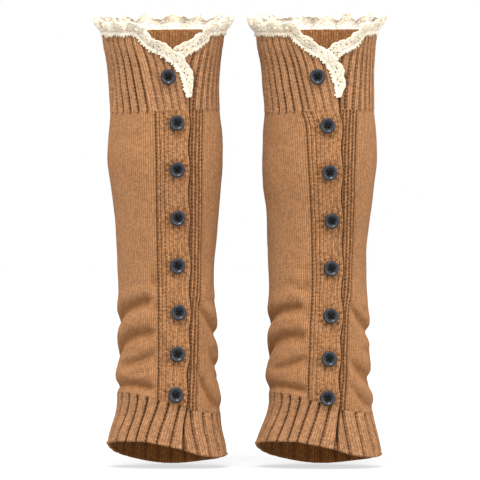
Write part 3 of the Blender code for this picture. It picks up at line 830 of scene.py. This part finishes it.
def make_hem_band(cuff):
    free = Curve([(r[0], r[1 if cuff == "L" else 2]) for r in HEM_FRONT])
    u, v = steps(420, (1, 1)), steps(44, (1, 0))
    angle, z = lattice(u, v, lambda zz: -8.0 + 0 * zz,
                       lambda zz: 360.0 + angle_at(cuff, free(zz), zz),
                       HEM, lambda a: BODY_FOOT(a) + 0.55)
    foot, top = HEM(angle), BODY_FOOT(angle) + 0.55
    t = (z - foot) / (top - foot)
    lean = 8.5 * (0.5 - t) * smoothstep((angle - 200.0) / 100.0) \
        - 5.0 * (0.5 - t) * (1.0 - smoothstep((angle - 60.0) / 120.0))
    lean = lean + 0.6 * np.sin(np.radians(angle) * 7.0 + z * 0.05)
    ribs = Curve(RIBS_HEM[cuff])(angle + lean)
    half_width = reach(cuff, z)[1]
    pitch = rib_pitch(ribs, angle, half_width)
    left = angle_at(cuff, free(z), z) + 360.0 - angle
    side_right = left * np.radians(half_width)
    side_left = (angle + 8.0) * np.radians(half_width)
    fade = np.ones(z.shape)
    roll = np.maximum.reduce([rounding(z - foot, 1.4), rounding(side_left, 1.4),
                              rounding(side_right, 1.4)])
    roll = roll - 0.40 * np.exp(-((z - foot - 1.5) / 1.3) ** 2) \
        * (1.0 + np.cos(2 * np.pi * ribs * 3.0))
    past = (angle - angle_at(cuff, free(z), z)) * np.radians(half_width)
    # painted shadow beside the over flap's edge; the whole hem band is also a little darker
    painted_dark_min = np.maximum(0.26, 0.98 * flap_shadow(past - 1.8, 3.0) * (angle < 60.0))
    obj = band_shell(cuff, cuff + "_hem_band_knit", angle, z, ribs, pitch, fade,
                     roll, 5.0, 1.75, 2.6, top - z, 43 if cuff == "L" else 44, painted_dark_min,
                     0.74)
    finish_piece(obj, "rib", cuff + "_hem_band")
    return obj


def make_body(cuff):
    u, v = steps(260, (1, 1), 0.3), steps(164)
    angle, z = lattice(u, v,
                       lambda zz: under_right(cuff, zz) + gap_angle(cuff, zz),
                       lambda zz: over_left(cuff, zz) - gap_angle(cuff, zz),
                       lambda a: BODY_FOOT(a) + SEAM / 2,
                       lambda a: BAND_FOOT(a) - SEAM / 2)
    half_width = np.radians(reach(cuff, z)[1])
    from_right = (angle - under_right(cuff, z)) * half_width
    from_left = (over_left(cuff, z) - angle) * half_width
    roll = 0.75 * np.maximum(rounding(from_left, 1.5), rounding(from_right, 1.3))
    # painted shade in the seam grooves beside both plackets
    painted_shade = np.maximum(1.0 * np.exp(-(from_left / 1.2) ** 2)
                      * (0.66 + 0.34 * np.cos(2 * np.pi * z / 3.4)),
                      0.9 * np.exp(-(from_right / 0.8) ** 2)
                      * (0.5 + 0.5 * np.cos(2 * np.pi * z / 3.5)))
    ribs_top = Curve(RIBS_TOP[cuff])(angle)
    f = np.abs(ribs_top - np.round(ribs_top))
    # dimples at the rib ends, with painted shade in them
    dots = np.exp(-(f / 0.11) ** 2) * np.exp(-((BAND_FOOT(angle) - z - 0.8) / 1.4) ** 2)
    ribs_hem = Curve(RIBS_HEM[cuff])(angle - 4.0)
    f = np.abs(ribs_hem - np.round(ribs_hem))
    dots = dots + 0.9 * np.exp(-(f / 0.10) ** 2) * np.exp(
        -((z - BODY_FOOT(angle) - 0.8) / 1.3) ** 2)
    painted_shade = np.clip(np.maximum(painted_shade, 1.0 * dots), 0, 1)
    sw = swell(cuff, angle, z)
    rng = np.random.RandomState(51 if cuff == "L" else 52)
    outer = tube(cuff, angle, z, BODY_WALL / 2 + sw - roll - 0.6 * dots
                 + rng.normal(0.0, 0.035, z.shape))
    a2, z2 = half(angle), half(z)
    inner = tube(cuff, a2, z2, -BODY_WALL / 2 + half(sw) + 0.6 * half(roll))
    across = np.tile(u * 126.0, (len(v), 1))
    uv = np.stack([across, z / 1.62], -1)
    # painted shade: in the fold troughs, a little darker towards the bottom, and over the whole inner
    # face
    sunk = -fold(cuff, angle, z)
    obj = shell(cuff + "_body_knit", outer, inner, uv, half(uv),
                {"painted_shade": painted_shade}, {"painted_shade": np.full(a2.shape, 0.1)},
                0.50 * smoothstep(sunk / 4.2) + 0.06 * smoothstep((-190.0 - z) / 40.0))
    finish_piece(obj, "body", cuff + "_body")
    return obj


def dotted(x, z, lines, pitch, width, rng):
    """Relief and painted shade of dotted stitch lines at side positions x."""
    relief, painted_dark = np.zeros(x.shape), np.zeros(x.shape)
    for at, groove, dot, gain in lines:
        phase = rng.uniform(0, 1)
        d = x - at - 0.22 * np.sin(z / 7.0 + 6 * phase)
        near = np.exp(-(d / width) ** 2)
        beat = 0.5 + 0.5 * np.cos(2 * np.pi * (z / pitch + phase
                                              + 0.05 * np.sin(z / 11.0 + at)))
        spot = near * beat ** 1.5
        relief -= groove * near + dot * spot
        painted_dark = np.maximum(painted_dark, gain * (0.45 * near + 0.75 * spot))
    return relief, painted_dark


def make_placket(cuff):
    rng = np.random.RandomState(7 if cuff == "L" else 8)
    u, v = steps(54, (1, 1), 0.35), steps(360)
    angle, z = lattice(u, v,
                       lambda zz: over_left(cuff, zz) + gap_angle(cuff, zz),
                       lambda zz: over_right(cuff, zz),
                       lambda a: BODY_FOOT(a) + SEAM / 2,
                       lambda a: BAND_FOOT(a) - SEAM / 2)
    half_width = np.radians(reach(cuff, z)[1])
    x = (angle - over_left(cuff, z)) * half_width
    to_edge = (over_right(cuff, z) - angle) * half_width
    wide = x + to_edge
    xs = x / wide * 28.5
    # dotted stitch lines with painted shade in them
    relief, painted_dark = dotted(xs, z, ((3.3, 0.35, 0.55, 0.82), (7.0, 0.42, 0.56, 0.80),
                                  (10.6, 0.26, 0.40, 0.54), (14.2, 0.20, 0.34, 0.44),
                                  (17.8, 0.16, 0.32, 0.38), (21.2, 0.16, 0.30, 0.36),
                                  (24.4, 0.18, 0.28, 0.36)), 3.4, 0.70, rng)
    settles = 1.0 - 0.32 * smoothstep((-170.0 - z) / 70.0) * smoothstep((xs - 1.0) / 3.0)
    relief, painted_dark = relief * settles, painted_dark * settles
    relief += rng.normal(0.0, 0.11, z.shape)
    # slanting stitches of the knitted free edge
    bead = np.exp(-((to_edge - 1.6) / 1.5) ** 2)
    relief += bead * (0.65 + 0.30 * np.cos(2 * np.pi * (z + 0.9 * to_edge) / 3.2))
    # painted shade in a line inside the edge bead
    painted_dark = np.maximum(painted_dark, 0.5 * np.exp(-((to_edge - 4.2) / 0.8) ** 2)
                      * (0.6 + 0.4 * np.cos(2 * np.pi * z / 3.2)))
    # small stitch bumps all over
    relief += 0.10 * np.sin(2 * np.pi * z / 1.7 + 2.5 * np.cos(2 * np.pi * xs / 3.6))
    # the cloth is drawn in round each button, with short rays
    k = 0 if cuff == "L" else 2
    for row in BUTTONS[1:]:
        bx = float(360.0 + angle_at(cuff, row[k], row[k + 1]))
        dx = (angle - bx) * half_width
        dz = z - row[k + 1]
        r = np.hypot(dx, dz)
        ray = np.cos(11.0 * np.arctan2(dz, dx) + row[0])
        relief += -0.45 * np.exp(-(r / 8.5) ** 2) \
            + 0.30 * ray * np.exp(-((r - 9.5) / 3.0) ** 2)
        # painted shade in the creases between the rays
        painted_dark = np.maximum(painted_dark, 0.60 * np.clip(-ray, 0, 1)
                          * np.exp(-((r - 9.3) / 2.4) ** 2))
    roll = np.maximum(rounding(to_edge, 1.2), 0.75 * rounding(x, 1.4))
    outer = tube(cuff, angle, z, PLACKET_WALL / 2 + relief - roll
                 + 0.5 * swell(cuff, angle, z))
    # painted shade in the seam groove at the left edge; the inner face is slightly darker, painted
    # shade too
    painted_dark = np.maximum(painted_dark, 1.0 * np.exp(-(x / 1.1) ** 2)
                      * (0.66 + 0.34 * np.cos(2 * np.pi * z / 3.4)))
    a2, z2 = half(angle), half(z)
    inner = tube(cuff, a2, z2, -PLACKET_WALL / 2 + half(roll)
                 + 0.5 * swell(cuff, a2, z2))
    uv = np.stack([xs / 1.8, z / 1.7], -1)
    obj = shell(cuff + "_placket_knit", outer, inner, uv, half(uv),
                {"painted_shade": np.clip(painted_dark, 0, 1)}, {"painted_shade": np.full(a2.shape, 0.1)})
    finish_piece(obj, "placket", cuff + "_placket")
    return obj


def cover_line(cuff):
    """How far from the under placket's seam the over flap's edge lies."""
    z = np.linspace(-290.0, 4.0, 120)
    gap = (under_right(cuff, z) - (over_right(cuff, z) - 360.0)) \
        * np.radians(reach(cuff, z)[1])
    return z, gap


def make_under_placket(cuff):
    rng = np.random.RandomState(17 if cuff == "L" else 18)
    u, v = steps(40, (1, 1), 0.4), steps(260)
    angle, z = lattice(u, v, lambda zz: under_left(cuff, zz),
                       lambda zz: under_right(cuff, zz) - gap_angle(cuff, zz),
                       lambda a: BODY_FOOT(a) + SEAM / 2,
                       lambda a: BAND_FOOT(a) - SEAM / 2)
    half_width = np.radians(reach(cuff, z)[1])
    x = (under_right(cuff, z) - angle) * half_width
    from_left = (angle - under_left(cuff, z)) * half_width
    relief, painted_dark = dotted(x, z, ((0.5, 0.35, 0.65, 1.1), (3.9, 0.50, 0.75, 1.3),
                                 (7.6, 0.85, 0.45, 1.3), (11.2, 0.85, 0.45, 1.3),
                                 (14.9, 0.6, 0.5, 1.0), (18.6, 0.5, 0.4, 0.8),
                                 (22.3, 0.5, 0.4, 0.8)), 3.5, 0.85, rng)
    relief += 0.12 * np.sin(2 * np.pi * z / 1.75) + rng.normal(0.0, 0.07, z.shape)
    # painted shadow that the over flap's edge casts on the under placket; its dotted lines and inner
    # face carry painted shade too
    past = np.interp(z, *cover_line(cuff)) - x
    painted_dark = np.maximum(painted_dark, flap_shadow(past - 1.9, 3.2)
                      * (0.86 + 0.14 * np.cos(2 * np.pi * z / 3.3)))
    roll = np.maximum(rounding(from_left, 1.2), 0.6 * rounding(x, 1.2))
    outer = tube(cuff, angle, z, PLACKET_WALL / 2 + relief - roll)
    a2, z2 = half(angle), half(z)
    inner = tube(cuff, a2, z2, -PLACKET_WALL / 2 + half(roll))
    uv = np.stack([x / 1.8, z / 1.75], -1)
    obj = shell(cuff + "_under_placket_knit", outer, inner, uv, half(uv),
                {"painted_shade": np.clip(painted_dark, 0, 1)}, {"painted_shade": np.full(a2.shape, 0.1)})
    finish_piece(obj, "placket", cuff + "_under_placket")
    return obj


# ---------------------------------------------------------------------- lace
LACE_CELL = 0.80            # grid step along and across the lace
LACE_REPEAT = 8             # steps in one scallop


class Lace:
    """The lace strip as a surface: station along its foot, width above it."""

    def __init__(self, cuff):
        edge = v_edge(cuff)
        upper = Curve(edge)
        a = np.linspace(9.5, edge[-1][0], 6000)
        z = upper(a)
        p = tube(cuff, a, z, 2.3)
        s = np.concatenate([[0], np.cumsum(np.linalg.norm(np.diff(p, axis=0), axis=1))])
        self.length = s[-1]
        n = int(round(s[-1] / LACE_CELL / LACE_REPEAT)) * LACE_REPEAT
        self.n = n
        at = np.linspace(0, s[-1], n + 1)
        self.a, self.z = np.interp(at, s, a), np.interp(at, s, z)
        self.cuff, self.s = cuff, at
        per = np.radians(reach(cuff, self.z)[1])
        run = np.gradient(self.a) * per
        rise = np.gradient(self.z)
        kernel = np.hanning(13)
        kernel /= kernel.sum()
        run = np.convolve(np.pad(run, 6, mode="edge"), kernel, "valid")
        rise = np.convolve(np.pad(rise, 6, mode="edge"), kernel, "valid")
        length = np.hypot(run, rise)
        self.side, self.up, self.per = -rise / length, run / length, per
        taper = Curve(LACE_WIDTH)(self.a) * np.where(
            self.a > 180.0, 0.12 + 0.88 * smoothstep((self.z - 9.5) / 20.0), 1.0)
        self.taper = taper
        lean = np.radians(LACE_FLARE) * smoothstep((self.a - 22.0) / 30.0)
        lean = np.where(self.a > 340.0,
                        lean * (1.0 - 0.75 * smoothstep((self.a - 340.0) / 20.0)), lean)
        self.lean = lean
        peaks = np.array(RUFFLE_PEAKS)
        phase = np.interp(self.a, peaks, np.arange(len(peaks)))
        self.wave = np.cos(2 * np.pi * phase)
        self.loose = (smoothstep((self.a - 40.0) / 25.0)
                      * (1.0 - 0.66 * smoothstep((self.a - 330.0) / 24.0)))

    def at(self, col, w, off=0.0):
        """Points at grid columns and widths in mm, off the lace's middle."""
        col = np.clip(col, 0, self.n)
        x = np.arange(self.n + 1)

        def get(v):
            return np.interp(col, x, v)
        a, z, taper, lean = get(self.a), get(self.z), get(self.taper), get(self.lean)
        wave, loose = get(self.wave), get(self.loose)
        lump = np.sin(col * 2 * np.pi / 23.0 + 1.1 * np.sin(col * 0.09))
        up_w = np.maximum(w, 0.0) * taper * (1.0 + 0.17 * wave * loose + 0.13 * lump)
        ragged = (np.sin(col * 2 * np.pi / 6.7 + 1.9 * np.sin(col * 0.23))
                  + 0.6 * np.sin(col * 2 * np.pi / 3.9 + 1.3 * np.sin(col * 0.37)))
        w = np.where(w > 0.0, up_w, w + 0.45 * lump + 0.50 * ragged)
        high = np.maximum(w, 0.0)
        flat = np.where(w > 0.0, w * np.cos(lean), w)
        curl = (np.sin(np.minimum(high / 8.0, 1.0) * np.pi / 2)
                - 0.40 * smoothstep((high - 8.0) / 6.0))
        small = np.sin(col * 2 * np.pi / 11.0 + 1.7 * np.sin(col * 0.13))
        out = (BAND_WALL / 2 + LACE_CLEAR + LACE_WALL / 2
               + 8.5 * np.sin(lean) * curl
               + loose * (4.6 * wave + 0.9 * small) * (high / LACE_ABOVE) ** 1.2 + off)
        return tube(self.cuff, a + get(self.side) * flat / get(self.per),
                    z + get(self.up) * flat, out)

    def frame(self, col, w):
        """Surface normals at grid columns and widths."""
        du = self.at(col + 0.5, w) - self.at(col - 0.5, w)
        dv = self.at(col, w + 0.4) - self.at(col, w - 0.4)
        n = np.cross(du, dv)
        return n / (np.linalg.norm(n, axis=-1, keepdims=True) + 1e-9)


def scallop(col):
    """Width of the lace at a column: small round scallops on its free edge."""
    f = (col / LACE_REPEAT) % 1.0
    return LACE_ABOVE - 1.9 + 1.9 * np.sqrt(np.clip(1.0 - (2.0 * f - 1.0) ** 2, 0, 1))


def make_lace(cuff):
    lace = Lace(cuff)
    rng = np.random.RandomState(31 if cuff == "L" else 32)
    n, rows = lace.n, 21
    col = np.tile(np.arange(n + 1.0), (rows, 1))
    row = np.tile(np.arange(rows)[:, None], (1, n + 1)).astype(float)
    top = scallop(col[0])
    w = -LACE_BELOW + (top[None, :] + LACE_BELOW) * row / (rows - 1)
    gone = np.zeros((rows - 1, n), bool)
    eyes = []
    # eyelets: each takes the four cells round a grid point
    for line, first in ((6, 2), (10, 6), (14, 2), (17, 6)):
        for c in range(first, n - 2, LACE_REPEAT):
            skip = rng.uniform()
            if skip < {6: 0.40, 10: 0.26, 14: 0.40, 17: 0.70}[line]:
                continue
            c2 = c + (1 if rng.uniform() < 0.22 else 0)
            if lace.taper[min(c2, n)] < 0.6 and line > 10:
                continue
            r = rng.uniform(1.10, 1.52)
            eyes.append((c2, w[line, c2]))
            for dc in (-1, 0, 1):
                for dr in (-1, 0, 1):
                    if dc or dr:
                        ang = math.atan2(dr, dc)
                        i, j = line + dr, c2 + dc
                        w0 = w[line, c2]
                        col[i, j] = c2 + math.cos(ang) * r / LACE_CELL
                        w[i, j] = w0 + math.sin(ang) * r
            gone[line - 1:line + 1, c2 - 1:c2 + 1] = True
    wall = 0.26
    weave = 0.10 * np.sin(2 * np.pi * row / 2.0 + np.pi * (col % 2))
    outer = lace.at(col, w, wall + weave).reshape(-1, 3)
    inner = lace.at(col, w, -wall - weave).reshape(-1, 3)
    k = np.arange(rows * (n + 1)).reshape(rows, n + 1)
    base = rows * (n + 1)
    keep = ~gone
    quad = np.stack([k[:-1, :-1], k[:-1, 1:], k[1:, 1:], k[1:, :-1]], -1)[keep]
    polys = [quad, quad[:, ::-1] + base]
    # rims: edges that only one kept cell uses
    e = np.concatenate([quad[:, [0, 1]], quad[:, [1, 2]], quad[:, [2, 3]], quad[:, [3, 0]]])
    key = np.sort(e, axis=1)
    _, inverse, counts = np.unique(key, axis=0, return_inverse=True, return_counts=True)
    rim = e[counts[inverse.ravel()] == 1]
    polys.append(np.stack([rim[:, 1], rim[:, 0], rim[:, 0] + base, rim[:, 1] + base], -1))
    verts = np.concatenate([outer, inner])
    used = np.zeros(len(verts), bool)
    for p in polys:
        used[p.ravel()] = True
    index = np.cumsum(used) - 1
    polys = [index[p] for p in polys]
    # painted shade: the lace ground a little tan, being behind the yarn
    shade = np.full(col.size, 0.06)
    shade = np.concatenate([shade, shade])[used]
    ground = write_mesh(cuff + "_lace_ground", verts[used], polys,
                        marks={"painted_shade": shade})
    finish_piece(ground, "lace", cuff + "_lace")

    # crochet yarn on both faces: chains along the lace, posts across it,
    # a corded scalloped edge and a zigzag that sews it to the knit
    parts = []

    def lay(cols, ws, offs, radius, sides=5):
        cols, ws = np.asarray(cols, float), np.asarray(ws, float)
        p = lace.at(cols, ws, offs)
        parts.append(tubes(p, lace.frame(cols, ws), radius, sides))

    fine = np.arange(0, n + 0.001, 0.7)
    for base_w, r in ((0.4, 0.50), (3.9, 0.46), (8.0, 0.46)):
        for sign in (0.0, np.pi):
            wob = np.sin(fine * np.pi / 1.5 + sign)
            lay(fine[None], (base_w + 0.42 * wob)[None],
                (0.30 * np.cos(fine * np.pi / 1.5 + sign))[None], r, 4)
    lay(fine[None], (scallop(fine) - 0.25 + 0.45 * np.cos(fine * np.pi))[None], 0.0, 0.62)
    lay(fine[None], (scallop(fine) - 1.45 + 0.2 * np.sin(fine * 4.1))[None], 0.15, 0.42)
    # posts
    start = np.arange(0.5, n - 0.5, 1.0)
    jitter = rng.uniform(-0.16, 0.16, start.shape)
    for w0, w1, phase in ((0.6, 3.7, 0.0), (4.1, 7.8, 4.0), (8.2, 11.7, 0.0)):
        f = (start + phase) % LACE_REPEAT
        if w0 < 1:
            take = np.ones(start.shape, bool)
        else:
            take = (f > 3.2) | (f < 0.9)
        for eye, eye_w in eyes:
            if w0 - 0.6 < eye_w < w1 + 0.6:
                take &= np.abs(start + jitter - eye) > 1.25
        c = (start + jitter)[take]
        t = np.linspace(0, 1, 3)[None]
        slant = rng.uniform(-0.35, 0.35, c.shape)[:, None]
        lay(c[:, None] + slant * t, w0 + (w1 - w0) * t + 0 * c[:, None],
            0.32 * np.sin(np.pi * t) + 0.05 + 0 * c[:, None], 0.42, 4)
    # fan of posts in each scallop
    centre = np.arange(LACE_REPEAT / 2, n - 1, LACE_REPEAT)
    for q in (-0.86, -0.52, -0.18, 0.18, 0.52, 0.86):
        t = np.linspace(0, 1, 3)[None]
        keep_fan = np.array([not any(abs(e - f - 1.7 * q) < 1.0 and ew > 10.0
                                     for e, ew in eyes) for f in centre])
        c = centre[keep_fan, None] + q * (1.2 + 2.4 * t)
        ws = 9.3 + (scallop(c) - 0.4 - 9.3) * t
        lay(c, ws, 0.28 + 0 * c, 0.42, 4)
    # zigzag sewing, narrow over the knitted edge
    zig = np.arange(0, n, 1.0)
    ws = np.where(zig % 4 < 2, -3.4, -0.6) + rng.uniform(-1.3, 0.5, zig.shape)
    cols = zig + rng.uniform(-0.2, 0.2, zig.shape)
    fine2 = np.linspace(0, len(zig) - 1, 2 * len(zig))
    lay(np.interp(fine2, np.arange(len(zig)), cols)[None],
        np.interp(fine2, np.arange(len(zig)), ws)[None], -0.05, 0.46)
    verts, polys5, polys4, quads, shift = [], [], [], [], 0
    for p, q, c in parts:
        verts.append(p)
        quads.append(q + shift)
        (polys5 if c.shape[1] == 5 else polys4).append(c + shift)
        shift += len(p)
    verts = np.concatenate(verts)
    polys = [np.concatenate(quads + polys4), np.concatenate(polys5)]
    yarn = write_mesh(cuff + "_lace_yarn", verts, polys,
                      marks={"painted_shade": np.zeros(len(verts))})
    finish_piece(yarn, "lace", None)
    return ground


# ------------------------------------------------------------------- buttons
def button_template():
    """Turned button with a rolled rim, a stepped dish and four holes."""
    r, t = BUTTON_D / 2, BUTTON_T
    pts = [(0.0, 0.56 * t), (0.20 * r, 0.56 * t), (0.40 * r, 0.57 * t), (0.52 * r, 0.60 * t),
           (0.60 * r, 0.68 * t), (0.66 * r, 0.80 * t), (0.73 * r, 0.93 * t),
           (0.80 * r, 1.0 * t), (0.87 * r, 0.985 * t), (0.94 * r, 0.90 * t),
           (0.985 * r, 0.76 * t), (r, 0.60 * t), (0.985 * r, 0.44 * t),
           (0.93 * r, 0.24 * t), (0.82 * r, 0.08 * t), (0.66 * r, 0.0), (0.0, 0.0)]
    mesh = bpy.data.meshes.new("button_blank")
    mesh.from_pydata([(x * MM, 0, z * MM) for x, z in pts],
                     [(i, i + 1) for i in range(len(pts) - 1)], [])
    blank = bpy.data.objects.new("button_blank", mesh)
    bpy.context.scene.collection.objects.link(blank)
    screw = blank.modifiers.new("turn", "SCREW")
    screw.steps = screw.render_steps = 36
    screw.use_merge_vertices = True
    screw.merge_threshold = 0.00001
    holes = bpy.data.meshes.new("button_drill")
    verts, faces = [], []
    for sx in (-1, 1):
        for sy in (-1, 1):
            k = len(verts)
            for zz in (-2.0, 2.0 * t):
                for q in range(12):
                    a = 2 * math.pi * q / 12
                    verts.append(((sx * 1.65 + 1.0 * math.cos(a)) * MM,
                                  (sy * 1.65 + 1.0 * math.sin(a)) * MM, zz * MM))
            faces += [(k + q, k + (q + 1) % 12, k + 12 + (q + 1) % 12, k + 12 + q)
                      for q in range(12)]
            faces.append(tuple(k + q for q in reversed(range(12))))
            faces.append(tuple(k + 12 + q for q in range(12)))
    holes.from_pydata(verts, [], faces)
    drill = bpy.data.objects.new("button_drill", holes)
    bpy.context.scene.collection.objects.link(drill)
    cut = blank.modifiers.new("holes", "BOOLEAN")
    cut.operation, cut.solver, cut.object = "DIFFERENCE", "EXACT", drill
    bpy.context.view_layer.update()
    made = bpy.data.meshes.new_from_object(
        blank.evaluated_get(bpy.context.evaluated_depsgraph_get()))
    made.name = "button_form"
    bpy.data.objects.remove(blank, do_unlink=True)
    bpy.data.objects.remove(drill, do_unlink=True)
    co = np.empty(len(made.vertices) * 3)
    made.vertices.foreach_get("co", co)
    co = co.reshape(-1, 3) / MM
    rr = np.hypot(co[:, 0], co[:, 1]) / r
    # rim mark: a ring between dish and outer edge, partly worn and partly painted highlight
    rim = (smoothstep((rr - 0.55) / 0.14) * (1.0 - 0.85 * smoothstep((rr - 0.86) / 0.10))
           * smoothstep((co[:, 2] / t - 0.3) / 0.3))
    attr = made.attributes.new("rim", "FLOAT", "POINT")
    attr.data.foreach_set("value", rim.astype(np.float32))
    made.shade_smooth()
    made.set_sharp_from_angle(angle=math.radians(40.0))
    made.materials.clear()
    made.materials.append(MATS["button"])
    return made


def make_buttons(cuff, form):
    k = 0 if cuff == "L" else 2
    parts = []
    for number, row in enumerate(BUTTONS, 1):
        z = row[k + 1]
        angle = 360.0 + float(angle_at(cuff, row[k], z))
        A, Z = np.array([angle - 1, angle + 1, angle, angle, angle]), \
            np.array([z, z, z - 1, z + 1, z])
        p = tube(cuff, A, Z, BAND_WALL / 2 + BUTTON_CLEAR, fine=False)
        q = tube(cuff, A, Z, 0.0, fine=False)
        normal = np.cross(q[1] - q[0], q[3] - q[2])
        normal = Vector(normal / np.linalg.norm(normal))
        turn = Vector((0, 0, 1)).rotation_difference(normal).to_matrix().to_4x4()
        spin = Matrix.Rotation(math.radians(7.0 * ((number * 3) % 5 - 2)), 4, "Z")
        place = Matrix.Translation(Vector(p[4]) * MM) @ turn @ spin
        button = bpy.data.objects.new("%s_button_%d_resin" % (cuff, number), form)
        bpy.context.scene.collection.objects.link(button)
        button.matrix_world = place
        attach(button, "root")
        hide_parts("%s_button_%d" % (cuff, number))
        total_triangles[button.name] = len(form.loop_triangles) or sum(
            len(f.vertices) - 2 for f in form.polygons)
        # crossed sewing thread over the face and a short shank behind it
        m = np.array(place)
        zt = BUTTON_T * 0.56
        t = np.linspace(-1, 1, 7)
        lines = []
        for sx, sy in ((1, 1), (1, -1)):
            for off in (-0.14, 0.14):
                x = t * 1.65 * sx + off * (-sy)
                y = t * 1.65 * sy + off * sx
                h = zt + 0.30 + (0.16 if sy > 0 else 0.02) - 1.5 * np.clip(
                    np.abs(t) - 0.72, 0, 1) * 3.0
                lines.append(np.stack([x, y, h], -1))
        for qx, qy in ((1, 1), (-1, 1), (1, -1), (-1, -1)):
            # the thread fills each hole, partly standing in for the shade inside it, and gathers into
            # the knit behind it
            s = np.linspace(0, 1, 7)
            lines.append(np.stack([qx * (0.6 + 1.05 * np.minimum(2.5 * s, 1.0)),
                                   qy * (0.6 + 1.05 * np.minimum(2.5 * s, 1.0)),
                                   -0.9 + (0.85 + 0.5 * BUTTON_T) * s], -1))
        lines = np.array(lines)
        radius = np.array([0.17] * 4 + [0.84] * 4)[:, None] + np.zeros((1, 7))
        world = (lines * MM) @ m[:3, :3].T + m[:3, 3]
        normals = np.broadcast_to(m[:3, 2], world.shape).copy()
        normals += 0.3 * m[:3, 0]
        parts.append(tubes(world / MM, normals, radius, 6))
    verts, quads, caps, shift = [], [], [], 0
    for p, q, c in parts:
        verts.append(p)
        quads.append(q + shift)
        caps.append(c + shift)
        shift += len(p)
    obj = write_mesh(cuff + "_button_thread", np.concatenate(verts),
                     [np.concatenate(quads), np.concatenate(caps)])
    finish_piece(obj, "thread", None)


# --------------------------------------------------------------- the pieces
form = button_template()
for side in ("L", "R"):
    make_body(side)
    make_top_band(side)
    make_hem_band(side)
    make_placket(side)
    make_under_placket(side)
    make_lace(side)
    make_buttons(side, form)

# ------------------------------------------------------- floor, light, camera
floor_z = cad_low_high[0][2] - 0.0012
bpy.ops.mesh.primitive_plane_add(size=40.0, location=(0, 8.0, floor_z))
floor = bpy.context.object
floor.name = "studio_floor"
white = Nodes("studio_white")
white.shader.inputs["Base Color"].default_value = (0.20, 0.20, 0.20, 1)
white.shader.inputs["Emission Color"].default_value = (1.0, 1.0, 1.0, 1)
white.shader.inputs["Emission Strength"].default_value = 0.64
white.shader.inputs["Roughness"].default_value = 0.95
white.shader.inputs["Specular IOR Level"].default_value = 0.0
floor.data.materials.append(white.mat)

world = bpy.data.worlds.new("studio")
bpy.context.scene.world = world
world.use_nodes = True
world.node_tree.nodes["Background"].inputs[0].default_value = (1, 1, 1, 1)
world.node_tree.nodes["Background"].inputs[1].default_value = 1.0


def sun(name, strength, softness, azimuth, elevation):
    light = bpy.data.lights.new(name, "SUN")
    light.energy = strength
    light.angle = math.radians(softness)
    obj = bpy.data.objects.new(name, light)
    bpy.context.scene.collection.objects.link(obj)
    a, e = math.radians(azimuth), math.radians(elevation)
    towards = Vector((math.sin(a) * math.cos(e), -math.cos(a) * math.cos(e), math.sin(e)))
    obj.rotation_euler = towards.to_track_quat("Z", "Y").to_euler()
    return obj


sun("top", 3.9, 24.0, -5.0, 60.0)
sun("left", 1.10, 50.0, -66.0, 20.0)
sun("right", 2.1, 50.0, 54.0, 20.0)

distance = 4.5
camera_data = bpy.data.cameras.new("camera")
camera_data.sensor_width = 36.0
camera_data.lens = 36.0 * distance / 0.4608
camera_data.clip_end = 100.0
camera = bpy.data.objects.new("camera", camera_data)
bpy.context.scene.collection.objects.link(camera)
camera.location = (0.0, -distance, -0.12288)
camera.rotation_euler = (math.radians(90.0), 0.0, 0.0)
bpy.context.scene.camera = camera
bpy.context.scene.view_settings.view_transform = "Standard"

print("triangles", sum(total_triangles.values()),
      {k: v for k, v in total_triangles.items() if k.startswith("L")})
